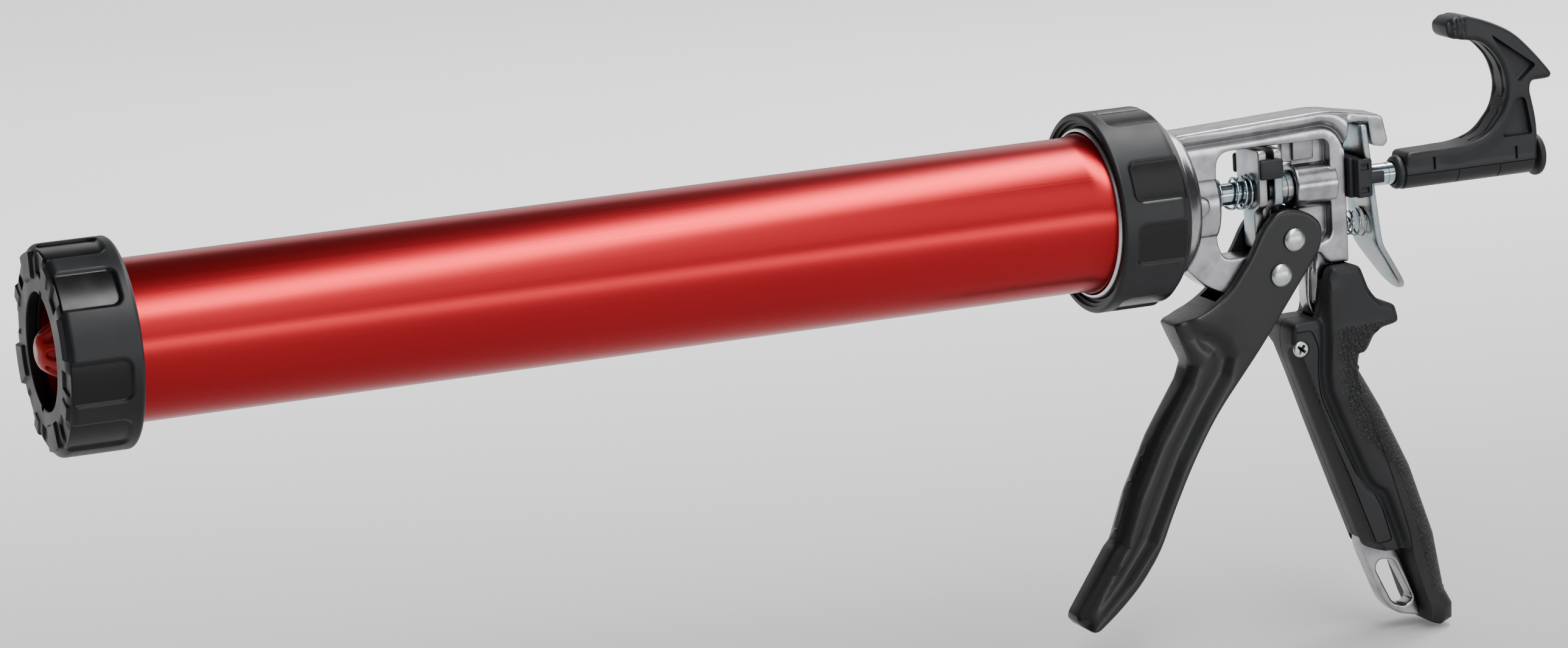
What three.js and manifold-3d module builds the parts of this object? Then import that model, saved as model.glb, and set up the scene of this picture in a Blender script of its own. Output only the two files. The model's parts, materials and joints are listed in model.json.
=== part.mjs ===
// Caulking gun with a rotating tube barrel for sausage packs, modelled in millimetres with +Z up.
// The pieces are built around the barrel axis: X runs along the barrel from muzzle to rear, and Y is across the gun.
// At the end the whole group is moved so that the middle of its lowest level is the origin.
import * as THREE from "three";
import { mergeVertices } from "three/addons/utils/BufferGeometryUtils.js";
import Module from "manifold-3d";

const wasm = await Module();
wasm.setup();

// ---- Driving dimensions ----
const GAP = 0.3; // between pieces that touch
const FINE = 36; // facets round a large turned piece
const GRIPPED = 54; // facets round the cap and the collar
const COARSE = 16; // facets round a small piece

const BARREL_R = 27;
const BARREL_BORE_R = 25.7;
const BARREL_FRONT_X = 5.5;
const BARREL_FLARE_X = 364.5;
const BARREL_FLARE_R = 28.2;
const BARREL_FLANGE_X = 386;
const BARREL_FLANGE_R = 29.4;
const BARREL_END_X = 388.6;

const CAP_R = 35;
const CAP_LENGTH = 25.3;
const CAP_WALL = 3.6;
const CAP_HOLE_R = 19.6;
const CAP_BORE_R = 27.4;
const PAD_HEIGHT = 1; // raised pads on the cap's front face
const PANEL_DEPTH = 1; // recessed finger panels round the cap and the collar
const PANEL_HALF = 12.25; // degrees
const PANEL_OFFSET = 18.5; // degrees from the middle of a pair of panels
const PAIR_STEP = 90;
const CAP_FIRST_PAIR = 62;
const COLLAR_FIRST_PAIR = 7;

const COLLAR_FRONT_X = 370;
const COLLAR_REAR_X = 397.3;
const COLLAR_R = 35;
const COLLAR_BORE_R = 29.9;
const COLLAR_LIP_R = 28.9;

const ROD_R = 4;
const ROD_HOLE_R = 4.5;
const ROD_FRONT_X = 30;
const ROD_REAR_X = 546;

const FRAME_HALF = 6; // half the thickness of the cast frame
const TANG_HALF = 3.5; // half the thickness of its tang inside the grip
const DISC_X = 390.2; // front face of the frame's spigot
const FRONT_BOSS_R = 9.3;
const FRONT_BOSS_TALL = 1.45; // how much taller than wide the front boss is
const FRONT_BOSS_DROP = -2.8; // how far its middle lies from the axis
const FRONT_BOSS_X = 419.5;
const REAR_BOSS_R = 8.2;
const REAR_BOSS_X = 449.6;
const UPRIGHT_FRONT_X = 463.3;
const UPRIGHT_REAR_X = 469.6;

const PIVOT = [441, -29.3]; // x and z of the trigger's pivot rivet
const DRIVE_PIN = [446.6, -17.3]; // x and z of the rivet that pushes the drive plates
const RIVET_R = 3;
const RIVET_HOLE_R = 3.3;
const RIVET_HEAD_R = 4.2;
const CHEEK_IN = 6.3; // inner and outer faces of the trigger's cheeks
const CHEEK_OUT = 9.5;
const FINGER_HALF = 7.2; // half the width of the trigger where the fingers lie

const GRIP_HALF = 12;
const HOOK_HALF = 7.5;
const SLEEVE_R = 6.3;
const SLEEVE_FRONT_X = 493.5;
const SLEEVE_REAR_X = 545.3;

const PLATE_THICK = 3.3;
const PLATE_FRONT_X = 434;
const PLATE_REAR_X = 440;
const PLATE_HALF = 9;
const TONGUE_HALF = 4.5;

// ---- Solids and geometries ----
const rad = THREE.MathUtils.degToRad;

// A closed three.js geometry as a solid that can be joined and cut.
function solid(geometry) {
  const bare = geometry.clone();
  bare.deleteAttribute("normal");
  bare.deleteAttribute("uv");
  const merged = mergeVertices(bare, 1e-4);
  const corners = Array.from(merged.index.array);
  const triVerts = [];
  for (let i = 0; i < corners.length; i += 3) {
    const [a, b, c] = corners.slice(i, i + 3);
    if (a !== b && b !== c && c !== a) triVerts.push(a, b, c);
  }
  return new wasm.Manifold(
    new wasm.Mesh({
      numProp: 3,
      vertProperties: new Float32Array(merged.attributes.position.array),
      triVerts: new Uint32Array(triVerts),
    }),
  );
}

function geometryOf(body) {
  const mesh = body.getMesh();
  const geometry = new THREE.BufferGeometry();
  geometry.setAttribute("position", new THREE.BufferAttribute(mesh.vertProperties, 3));
  geometry.setIndex(new THREE.BufferAttribute(mesh.triVerts, 1));
  geometry.computeVertexNormals();
  return geometry;
}

function joined(bodies) {
  return bodies.reduce((sum, body) => sum.add(body));
}

function cutBy(body, tools) {
  return tools.reduce((rest, tool) => rest.subtract(tool), body);
}

// A shape whose corners [x, z, radius] are rounded.
function rounded(corners) {
  const shape = new THREE.Shape();
  const point = (i) => new THREE.Vector2(...corners[(i + corners.length) % corners.length]);
  corners.forEach(([, , radius = 0], i) => {
    const here = point(i);
    const back = point(i - 1).sub(here);
    const ahead = point(i + 1).sub(here);
    const reach = Math.min(radius, back.length() * 0.45, ahead.length() * 0.45);
    const start = here.clone().addScaledVector(back.normalize(), reach);
    const end = here.clone().addScaledVector(ahead.normalize(), reach);
    if (i === 0) shape.moveTo(start.x, start.y);
    else shape.lineTo(start.x, start.y);
    if (reach > 0) shape.quadraticCurveTo(here.x, here.y, end.x, end.y);
  });
  shape.closePath();
  return shape;
}

// A shape in the XZ plane, made into a slab from yLow to yHigh, with its edges eased by bevel.
function slab(shape, yLow, yHigh, bevel = 0) {
  const geometry = new THREE.ExtrudeGeometry(shape, {
    depth: yHigh - yLow - 2 * bevel,
    bevelEnabled: bevel > 0,
    bevelThickness: bevel,
    bevelSize: bevel,
    bevelOffset: -bevel,
    bevelSegments: 1,
    curveSegments: 3,
  });
  geometry.rotateX(Math.PI / 2);
  geometry.translate(0, yHigh - bevel, 0);
  return solid(geometry);
}

function slabBoth(shape, half, bevel = 0) {
  return slab(shape, -half, half, bevel);
}

// A profile of [x, radius] points turned round the barrel axis. A profile that leaves the axis is a closed ring.
function turned(profile, segments = FINE) {
  const points = profile.map(([x, r]) => new THREE.Vector2(r, x));
  if (THREE.ShapeUtils.area(points) < 0) points.reverse();
  const onAxis = points[0].x === 0 && points[points.length - 1].x === 0;
  if (!onAxis) points.push(points[0].clone());
  const geometry = new THREE.LatheGeometry(points, segments);
  geometry.rotateZ(-Math.PI / 2);
  return solid(geometry);
}

function ring(x0, x1, inner, outer, segments = FINE) {
  return turned([[x0, inner], [x1, inner], [x1, outer], [x0, outer]], segments);
}

function rod(x0, x1, radius, segments = COARSE) {
  return turned([[x0, 0], [x0, radius], [x1, radius], [x1, 0]], segments);
}

function box(x0, x1, y0, y1, z0, z1) {
  const geometry = new THREE.BoxGeometry(x1 - x0, y1 - y0, z1 - z0);
  geometry.translate((x0 + x1) / 2, (y0 + y1) / 2, (z0 + z1) / 2);
  return solid(geometry);
}

// A pin across the gun at [x, z].
function crossPin([x, z], radius, yLow, yHigh, segments = COARSE) {
  const geometry = new THREE.CylinderGeometry(radius, radius, yHigh - yLow, segments);
  geometry.translate(x, (yLow + yHigh) / 2, z);
  return solid(geometry);
}

// Part of a ring round the barrel axis, centred degrees above the gun's left side.
function sector(inner, outer, half, x0, x1, degrees) {
  const shape = new THREE.Shape();
  shape.absarc(0, 0, outer, rad(-half), rad(half), false);
  shape.absarc(0, 0, inner, rad(half), rad(-half), true);
  shape.closePath();
  const geometry = new THREE.ExtrudeGeometry(shape, { depth: x1 - x0, bevelEnabled: false, curveSegments: 3 });
  geometry.rotateY(Math.PI / 2);
  geometry.translate(x0, 0, 0);
  geometry.rotateX(-Math.PI / 2 - rad(degrees));
  return solid(geometry);
}

// The middle angles of the eight finger panels, two to each pair.
function panelAngles(firstPair) {
  const angles = [];
  for (let pair = 0; pair < 4; pair += 1) {
    const middle = firstPair + pair * PAIR_STEP;
    angles.push(middle - PANEL_OFFSET, middle + PANEL_OFFSET);
  }
  return angles;
}

// Wire of the given radius wound round an axis along X, from one coil radius to another.
function coil(x0, x1, z, startR, endR, wire, turns) {
  const steps = 12 * turns;
  const points = [];
  for (let i = 0; i <= steps; i += 1) {
    const t = i / steps;
    const angle = t * turns * 2 * Math.PI;
    const r = THREE.MathUtils.lerp(startR, endR, t);
    points.push(new THREE.Vector3(THREE.MathUtils.lerp(x0, x1, t), r * Math.sin(angle), z + r * Math.cos(angle)));
  }
  const section = new THREE.Shape();
  section.absarc(0, 0, wire, 0, 2 * Math.PI, false);
  const geometry = new THREE.ExtrudeGeometry(section, {
    steps,
    extrudePath: new THREE.CatmullRomCurve3(points),
    curveSegments: 3,
  });
  return solid(geometry);
}

// ---- Barrel, cap and collar ----
function barrelTube() {
  return turned([
    [BARREL_FRONT_X, BARREL_BORE_R],
    [BARREL_FRONT_X, BARREL_R],
    [BARREL_FLARE_X, BARREL_R],
    [BARREL_FLARE_X + 3, BARREL_R + 0.4],
    [COLLAR_FRONT_X + 1, BARREL_FLARE_R],
    [BARREL_FLANGE_X, BARREL_FLARE_R],
    [BARREL_FLANGE_X, BARREL_FLANGE_R],
    [BARREL_END_X, BARREL_FLANGE_R],
    [BARREL_END_X, BARREL_BORE_R],
  ]);
}

function frontCap() {
  const body = turned([
    [0, CAP_HOLE_R],
    [0, CAP_R - 4],
    [0.8, CAP_R - 1.6],
    [2.2, CAP_R],
    [CAP_LENGTH - 1, CAP_R],
    [CAP_LENGTH, CAP_R - 0.8],
    [CAP_LENGTH, CAP_BORE_R],
    [CAP_WALL, CAP_BORE_R],
    [CAP_WALL, CAP_HOLE_R],
  ], GRIPPED);
  const cuts = [];
  for (const angle of panelAngles(CAP_FIRST_PAIR)) {
    cuts.push(sector(CAP_R - PANEL_DEPTH, CAP_R + 2, PANEL_HALF, -2, 21, angle));
    cuts.push(sector(26.5, CAP_R + 2, 6.5, -2, 0.9, angle));
  }
  for (const angle of [75, 255]) cuts.push(sector(CAP_HOLE_R - 1, CAP_HOLE_R + 1.4, 3.5, -2, 2, angle));
  const pads = [];
  for (let pair = 0; pair < 4; pair += 1) {
    const middle = CAP_FIRST_PAIR + PAIR_STEP / 2 + pair * PAIR_STEP;
    pads.push(sector(24, CAP_R - 2.4, 12, -PAD_HEIGHT, 1.5, middle));
    pads.push(sector(27, CAP_R - 2.4, 5, -0.5, 1.5, middle - PAIR_STEP / 2));
  }
  return joined([cutBy(body, cuts), ...pads]);
}

function nozzleWasher() {
  return ring(CAP_WALL + GAP, BARREL_FRONT_X - GAP, CAP_HOLE_R + 0.6, CAP_BORE_R - 0.5);
}

function rearCollar() {
  const body = turned([
    [COLLAR_FRONT_X, 32.6],
    [COLLAR_FRONT_X, COLLAR_R - 0.8],
    [COLLAR_FRONT_X + 0.8, COLLAR_R],
    [393, COLLAR_R],
    [396.2, 32],
    [COLLAR_REAR_X, 30.4],
    [COLLAR_REAR_X, COLLAR_BORE_R],
    [BARREL_FLANGE_X - GAP, COLLAR_BORE_R],
    [BARREL_FLANGE_X - GAP, COLLAR_LIP_R],
    [377, COLLAR_LIP_R],
    [377, 30.2],
    [372.4, 30.2],
    [372.4, 31.4],
    [371, 31.4],
    [371, 32.6],
  ], GRIPPED);
  const panels = panelAngles(COLLAR_FIRST_PAIR).map((angle) =>
    sector(COLLAR_R - PANEL_DEPTH, COLLAR_R + 2, PANEL_HALF, 375, COLLAR_REAR_X + 2, angle),
  );
  return cutBy(body, panels);
}

function slipRing() {
  return turned([
    [370.6, BARREL_FLARE_R + 0.5],
    [370.6, 29.4],
    [371, 29.8],
    [376.7, 29.8],
    [376.7, BARREL_FLARE_R + 0.5],
  ]);
}

function thrustWasher() {
  return ring(BARREL_END_X + GAP, DISC_X - GAP, 24.6, BARREL_FLANGE_R);
}

// ---- Plunger and rod ----
function plungerNose() {
  return turned([
    [-2, 0],
    [-2, 3],
    [-1, 5.4],
    [1.2, 7.4],
    [8, 11.6],
    [29, 20.5],
    [36, 24],
    [38, 24.6],
    [38, ROD_R + GAP],
    [ROD_FRONT_X - GAP, ROD_R + GAP],
    [ROD_FRONT_X - GAP, 0],
  ]);
}

function pistonSeal() {
  return turned([
    [38.3, ROD_R + GAP],
    [38.3, 24.4],
    [40, 25.2],
    [43.5, 25.2],
    [45, 24],
    [45, ROD_R + GAP],
  ]);
}

function pistonWasher() {
  return ring(45.3, 46.9, ROD_R + GAP, 21);
}

function pistonNut() {
  const hex = solid(new THREE.CylinderGeometry(7.5, 7.5, 5.4, 6).rotateZ(Math.PI / 2).translate(49.9, 0, 0));
  return cutBy(hex, [rod(46, 54, ROD_R + GAP)]);
}

function pushRod() {
  return turned([
    [ROD_FRONT_X, 0],
    [ROD_FRONT_X, ROD_R - 0.6],
    [ROD_FRONT_X + 0.8, ROD_R],
    [ROD_REAR_X, ROD_R],
    [ROD_REAR_X, 0],
  ]);
}

// ---- Pull hook on the rod's rear end ----
const HOOK_CORNERS = [
  [SLEEVE_FRONT_X, -5, 2.5],
  [SLEEVE_FRONT_X, 7.7, 2.5],
  [517, 7.7, 6],
  [526, 10.3, 6],
  [533.5, 18.5, 8],
  [535.3, 27, 8],
  [532.6, 36.5, 8],
  [525.5, 44, 7],
  [517, 45.4, 3],
  [511.8, 46.6, 3],
  [511.2, 52.4, 4],
  [517.5, 54.4, 4],
  [527, 51.6, 10],
  [538, 46.4, 12],
  [546.5, 38, 12],
  [555, 27.8, 4.5],
  [545, 27.6, 2.5],
  [544.3, 24.5, 3],
  [547, 12, 12],
  [546.6, -5, 2.5],
];
const HOOK_POCKETS = [
  [[528.6, 46.4, 1.5], [546.8, 33.4, 1.5], [539.6, 27.6, 1.5]],
  [[537.6, 22.4, 2], [542, 22.4, 2], [544.6, 8.6, 1.5], [532.2, 8.6, 1.5]],
];
const POCKET_FLOOR = 3; // half the web left between the pockets of the two sides

function pullHook() {
  const arm = slabBoth(rounded(HOOK_CORNERS), HOOK_HALF, 0.9);
  const shank = rod(SLEEVE_FRONT_X, SLEEVE_REAR_X, SLEEVE_R);
  const below = box(480, 560, -20, 20, -30, -0.5);
  const pockets = HOOK_POCKETS.flatMap((corners) => [
    slab(rounded(corners), POCKET_FLOOR, 20),
    slab(rounded(corners), -20, -POCKET_FLOOR),
  ]);
  const slots = [];
  for (const x of [504, 537]) {
    slots.push(box(x, x + 1.2, SLEEVE_R - 1.4, 20, 0.4, 5));
    slots.push(box(x, x + 1.2, -20, 1.4 - SLEEVE_R, 0.4, 5));
  }
  const whole = joined([arm, shank]);
  return cutBy(whole, [below, rod(480, 560, ROD_R + GAP), ...pockets, ...slots]);
}

function hookCover() {
  const shell = rod(SLEEVE_FRONT_X, SLEEVE_REAR_X, SLEEVE_R);
  const above = box(480, 560, -20, 20, -0.8, 30);
  const seams = [514.5, 531].map((x) => ring(x, x + 0.5, SLEEVE_R - 0.3, SLEEVE_R + 2, COARSE));
  return cutBy(shell, [above, rod(480, 560, ROD_R + GAP), ...seams]);
}

function hookRing() {
  return turned([
    [490.6, ROD_R + GAP],
    [490.6, 5],
    [491.6, 6],
    [SLEEVE_FRONT_X - GAP, 6],
    [SLEEVE_FRONT_X - GAP, ROD_R + GAP],
  ], COARSE);
}

function rodEndDisc() {
  return turned([
    [SLEEVE_REAR_X + 2 * GAP + 1, 0],
    [SLEEVE_REAR_X + 2 * GAP + 1, 7],
    [547.4, 7.6],
    [548.8, 7.6],
    [549.6, 6.8],
    [549.6, 0],
  ], COARSE);
}

// ---- Cast frame ----
const FRAME_CORNERS = [
  [398.5, 20, 0],
  [404, 24.2, 0.5],
  [462, 26.5, 5],
  [476, 24, 2],
  [484.6, 22.4, 2],
  [486.8, 12.6, 1.5],
  [484.8, 10.8, 1],
  [480, 12, 1.5],
  [478.8, 20.7, 1],
  [471.2, 20.7, 1.5],
  [UPRIGHT_REAR_X, 12, 3],
  [UPRIGHT_REAR_X, -28.4, 0],
  [462, -28.4, 0],
  [458.5, -23.5, 3],
  [453.5, -25, 3],
  [448.5, -34.5, 4],
  [436.5, -38.4, 5],
  [421, -34.6, 1],
  [412.5, -29.8, 3],
  [403.6, -21, 1],
  [398.5, -18, 0],
];
const WINDOW_CORNERS = [
  [419.3, 16.4, 6],
  [UPRIGHT_FRONT_X, 16.4, 3],
  [UPRIGHT_FRONT_X, -19.5, 4],
  [455, -21.8, 3],
  [421, -21.8, 4],
  [418.6, -16, 2],
];
const TANG_CORNERS = [
  [455.4, -22, 0],
  [454, -31.4, 3],
  [453.7, -42, 4],
  [456.6, -49, 4],
  [459.6, -66, 10],
  [465.5, -95, 10],
  [470.8, -128, 3],
  [471.6, -134.6, 2],
  [479.8, -155, 6],
  [485, -160.2, 5],
  [494.2, -162.3, 1.5],
  [494.6, -160.4, 1],
  [487.4, -139.6, 3],
  [482.8, -130, 4],
  [474.5, -104, 8],
  [465.8, -80, 10],
  [462.6, -64, 8],
  [466.4, -50, 5],
  [467, -24, 0],
];
const LOOP_CORNERS = [
  [478.6, -139.4, 2.5],
  [484.4, -139.8, 2.5],
  [491.8, -155.4, 2.5],
  [488.8, -157.8, 2],
  [483.6, -156.2, 2.5],
  [477, -142.4, 2.5],
];
const WEB_REAR_X = 464;
const STUD_Z = -16; // height of the stud that holds the release spring

function frameCasting() {
  const disc = turned([
    [DISC_X, ROD_HOLE_R],
    [DISC_X, BARREL_FLANGE_R],
    [COLLAR_REAR_X + 0.4, BARREL_FLANGE_R],
    [COLLAR_REAR_X + 1, 28.2],
    [402, 26.6],
    [404.6, 24.2],
    [404.6, ROD_HOLE_R],
  ]);
  const plate = cutBy(slabBoth(rounded(FRAME_CORNERS), FRAME_HALF, 0.8), [
    slabBoth(rounded(WINDOW_CORNERS), 20),
  ]);
  const tang = slabBoth(rounded(TANG_CORNERS), TANG_HALF, 0.6);
  const bosses = [
    rod(402, FRONT_BOSS_X, FRONT_BOSS_R).scale([1, 1, FRONT_BOSS_TALL]).translate(0, 0, FRONT_BOSS_DROP),
    rod(REAR_BOSS_X, UPRIGHT_FRONT_X + 2, REAR_BOSS_R),
    rod(UPRIGHT_REAR_X - 2, 473.2, 2.2, 12).translate(0, 0, STUD_Z),
  ];
  const webs = [
    box(402, 412, -FRAME_HALF, FRAME_HALF, 15, 23),
    box(446.6, WEB_REAR_X, -1.8, 1.8, 9, 18),
    box(450.3, WEB_REAR_X, -1.8, 1.8, -5, 10),
    box(452.2, WEB_REAR_X, -1.8, 1.8, -21, -4),
    box(450.3, 458.4, -3.4, 3.4, 9.6, 18),
    sector(8, 11.4, 18, 403, 413, -4),
  ];
  const holes = [
    rod(380, 490, ROD_HOLE_R),
    crossPin(PIVOT, RIVET_HOLE_R, -20, 20),
    slabBoth(rounded(LOOP_CORNERS), 20),
  ];
  return cutBy(joined([disc, plate, tang, ...bosses, ...webs]), holes);
}

// ---- Grip ----
const GRIP_CORNERS = [
  [444.6, -47.4, 3],
  [455.6, -47.2, 1],
  [457.6, -36, 3],
  [459.6, -28.8, 3],
  [471, -28.8, 3],
  [474.8, -39, 4],
  [479, -43.6, 2],
  [484.4, -44.6, 3],
  [486.2, -51.6, 3],
  [478.8, -54, 6],
  [474.4, -60.6, 3],
  [467.5, -60.8, 2],
  [467.2, -66, 4],
  [470.4, -80, 10],
  [479.4, -104, 10],
  [486.6, -130, 6],
  [487.4, -135.8, 3],
  [474, -134.6, 3],
  [470.6, -130.5, 3],
  [463.6, -111.5, 10],
  [453.8, -84.5, 10],
  [447.8, -67.5, 6],
  [444, -57.5, 4],
];
const BACKSTRAP_CORNERS = [
  [468, -61.4, 2.5],
  [473, -61.2, 2.5],
  [471.8, -67, 6],
  [479.6, -82, 14],
  [490.4, -105, 14],
  [499, -131, 14],
  [502.6, -152, 6],
  [505.6, -156.6, 3],
  [506, -163, 3],
  [502, -166.6, 3],
  [496.4, -164.4, 2.5],
  [487.9, -138.6, 3],
  [487.2, -130, 6],
  [479.9, -104, 10],
  [470.9, -80, 10],
  [467.7, -66, 4],
];
const PANEL_CORNERS = [
  [451.5, -53.4, 2],
  [462, -53.2, 2.5],
  [462.8, -67, 6],
  [466.6, -84, 10],
  [477, -112, 6],
  [481, -131.5, 2],
  [474, -130.5, 2],
  [466.6, -107, 10],
];
const SCREW = [447.1, -56.6];
const SCREW_HEAD_R = 2.8;
const GRIP_SPLIT = 0.15; // half the gap between the two shells

function gripWhole() {
  const body = slabBoth(rounded(GRIP_CORNERS), GRIP_HALF, 1.5);
  const recess = [
    slab(rounded(PANEL_CORNERS), GRIP_HALF - 0.7, 20),
    slab(rounded(PANEL_CORNERS), -20, 0.7 - GRIP_HALF),
  ];
  const room = [];
  for (const [dx, dz] of [[1, 0], [-1, 0], [0, 1], [0, -1]]) {
    const pocket = slabBoth(rounded(TANG_CORNERS), TANG_HALF + 2 * GAP);
    room.push(pocket.translate(dx * 2 * GAP, 0, dz * 2 * GAP));
  }
  const uprightRoom = box(457, UPRIGHT_REAR_X + 1, -FRAME_HALF - GAP, FRAME_HALF + GAP, -34, -20);
  return cutBy(body, [...recess, ...room, uprightRoom]);
}

function gripShells() {
  const whole = gripWhole();
  const left = cutBy(whole, [
    box(430, 520, -GRIP_SPLIT, 30, -180, 0),
    crossPin(SCREW, SCREW_HEAD_R + 0.4, -20, 1.6 - GRIP_HALF),
    crossPin(SCREW, 1.9, -20, 1),
  ]);
  const right = cutBy(whole, [
    box(430, 520, -30, GRIP_SPLIT, -180, 0),
    crossPin(SCREW, 1.9, -1, GRIP_HALF - 4),
  ]);
  return { left: largest(left), right: largest(right) };
}

// The biggest closed body of a solid that cutting may have split.
function largest(body) {
  return body.decompose().sort((a, b) => b.volume() - a.volume())[0];
}

function gripScrew() {
  const head = crossPin(SCREW, SCREW_HEAD_R, 0.2 - GRIP_HALF, 1.3 - GRIP_HALF);
  const shank = crossPin(SCREW, 1.5, 1 - GRIP_HALF, GRIP_HALF - 5, 12);
  const bar = (wide, tall) =>
    box(SCREW[0] - wide, SCREW[0] + wide, -GRIP_HALF - 1, 0.9 - GRIP_HALF, SCREW[1] - tall, SCREW[1] + tall);
  return cutBy(joined([head, shank]), [bar(1.5, 0.35), bar(0.35, 1.5)]);
}

function gripBackstrap() {
  return slabBoth(rounded(BACKSTRAP_CORNERS), GRIP_HALF, 1.2);
}

// ---- Trigger ----
const TRIGGER_CORNERS = [
  [440.6, -6.8, 4],
  [446, -6.4, 3],
  [453.2, -8.4, 4],
  [458, -13, 4],
  [457.6, -21, 4],
  [432.4, -54.6, 6],
  [414, -76.5, 20],
  [404, -93, 20],
  [395.6, -110, 15],
  [390.5, -122, 10],
  [382, -133.6, 15],
  [373, -142, 10],
  [364, -148.8, 3],
  [358, -143.8, 3],
  [373.7, -120.4, 0.6],
  [375.7, -118, 2],
  [381.5, -101.5, 20],
  [391.3, -82, 20],
  [403.6, -64.2, 8],
  [406.4, -57.6, 7],
  [403, -49.6, 8],
  [400.2, -42.6, 1.5],
  [411.3, -39.6, 6],
  [420.6, -33.6, 10],
  [429.6, -22, 10],
  [434.6, -12.6, 8],
];
const TRIGGER_FRONT_BAND = [
  [395, -46],
  [414, -56],
  [414, -64, 8],
  [402, -81, 15],
  [392.6, -100, 15],
  [386.5, -118, 8],
  [365, -147.6, 1],
  [350, -150],
  [350, -120],
];
const CLEVIS_ROOM = [
  [399, -10],
  [411.8, -39.2, 0],
  [418, -44.6, 4],
  [424, -54, 4],
  [430, -64, 2],
  [480, -30],
  [480, 10],
  [399, 10],
];
const CHANNEL_ROOM = [
  [422, -55],
  [418.6, -60, 4],
  [409.4, -74.5, 10],
  [399.4, -92, 10],
  [390.8, -112, 8],
  [386, -123, 4],
  [382.5, -131],
  [440, -131],
  [440, -60],
];

function trigger() {
  const body = slabBoth(rounded(TRIGGER_CORNERS), CHEEK_OUT, 0.5);
  const cuts = [
    slabBoth(rounded(CLEVIS_ROOM), CHEEK_IN),
    slabBoth(rounded(CHANNEL_ROOM), 4.2),
    slab(rounded(TRIGGER_FRONT_BAND), FINGER_HALF, 20),
    slab(rounded(TRIGGER_FRONT_BAND), -20, -FINGER_HALF),
    crossPin(PIVOT, RIVET_HOLE_R, -20, 20),
    crossPin(DRIVE_PIN, RIVET_HOLE_R, -20, 20),
  ];
  return cutBy(body, cuts);
}

// A rivet across the gun with a low domed head at each end.
function rivet([x, z]) {
  const seat = CHEEK_OUT + GAP;
  const profile = [
    [0, seat + 2.2],
    [1.6, seat + 1.9],
    [3, seat + 1.2],
    [RIVET_HEAD_R, seat + 0.3],
    [RIVET_HEAD_R, seat],
    [RIVET_R, seat],
  ];
  const nearHalf = profile.map(([r, y]) => new THREE.Vector2(r, -y));
  const farHalf = profile.map(([r, y]) => new THREE.Vector2(r, y)).reverse();
  const points = [...nearHalf, ...farHalf];
  const geometry = new THREE.LatheGeometry(points, COARSE);
  geometry.translate(x, 0, z);
  return solid(geometry);
}

// ---- Drive plates and their clip ----
const PLATE_CORNERS = [
  [-PLATE_HALF, 15.6, 2],
  [PLATE_HALF, 15.6, 2],
  [PLATE_HALF, -4.2, 2],
  [TONGUE_HALF, -6.5, 2],
  [TONGUE_HALF, -20, 2],
  [-TONGUE_HALF, -20, 2],
  [-TONGUE_HALF, -6.5, 2],
  [-PLATE_HALF, -4.2, 2],
];

// An outline of [y, z] corners as a plate across the gun, from x0 to x1.
function crossPlate(corners, x0, x1) {
  const geometry = new THREE.ExtrudeGeometry(rounded(corners), { depth: x1 - x0, bevelEnabled: false, curveSegments: 3 });
  geometry.rotateX(Math.PI / 2);
  geometry.rotateZ(Math.PI / 2);
  geometry.translate(x0, 0, 0);
  return solid(geometry);
}

function drivePlate(x) {
  return cutBy(crossPlate(PLATE_CORNERS, x, x + PLATE_THICK), [rod(420, 460, ROD_R + 2 * GAP)]);
}

function plateClip() {
  const between = [PLATE_FRONT_X + PLATE_THICK + GAP, PLATE_REAR_X - GAP];
  const side = (y0, y1) => box(433.2, 444, y0, y1, 5, 12.4);
  return joined([
    side(-PLATE_HALF - 2.4, -PLATE_HALF - GAP),
    side(PLATE_HALF + GAP, PLATE_HALF + 2.4),
    box(between[0], between[1], -PLATE_HALF - 1, PLATE_HALF + 1, 5.2, 12.2),
  ]);
}

function rodBush() {
  return turned([
    [444, ROD_R + GAP],
    [444, 5.4],
    [444.6, 5.9],
    [REAR_BOSS_X - GAP, 5.9],
    [REAR_BOSS_X - GAP, ROD_R + GAP],
  ], COARSE);
}

// ---- Release lever and its guide ----
const LEVER_TOP = [475.3, 20.2];
const LEVER_BEND = [480.2, -25];
const LEVER_TIP = [490.8, -40.4];
const LEVER_HALF_THICK = 1.25;
const LEVER_WIDTH = 9.6;

function releaseLever() {
  const [top, bend, tip] = [LEVER_TOP, LEVER_BEND, LEVER_TIP];
  const side = rounded([
    [top[0] - LEVER_HALF_THICK, top[1]],
    [top[0] + LEVER_HALF_THICK, top[1]],
    [bend[0] + LEVER_HALF_THICK, bend[1] + 0.8, 3],
    [tip[0] + 1.1, tip[1] + 0.7, 0.6],
    [tip[0] - 1.1, tip[1] - 0.7, 0.6],
    [bend[0] - LEVER_HALF_THICK, bend[1] - 0.6, 3],
  ]);
  const face = [
    [-LEVER_WIDTH, 30, 0],
    [LEVER_WIDTH, 30, 0],
    [LEVER_WIDTH, -27, 8],
    [6.6, -38.6, 6],
    [2, -41.6, 2],
    [-2, -41.6, 2],
    [-6.6, -38.6, 6],
    [-LEVER_WIDTH, -27, 8],
  ];
  const strip = slabBoth(side, 20);
  return cutBy(strip.intersect(crossPlate(face, 460, 500)), [rod(460, 500, ROD_R + 1)]);
}

function releaseGuide() {
  const block = box(UPRIGHT_REAR_X + GAP, 474, -8, 8, -5.6, 8.9);
  const arms = [];
  for (const side of [-1, 1]) {
    const [y0, y1] = [10.2 * side, 12.2 * side].sort((a, b) => a - b);
    arms.push(box(472, 481.6, y0, y1, -0.6, 3.6));
    const [z0, z1] = [7 * side, 12.2 * side].sort((a, b) => a - b);
    arms.push(box(471.2, 473.8, z0, z1, -0.6, 3.6));
  }
  return cutBy(joined([block, ...arms]), [rod(460, 500, ROD_R + GAP)]);
}

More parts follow.
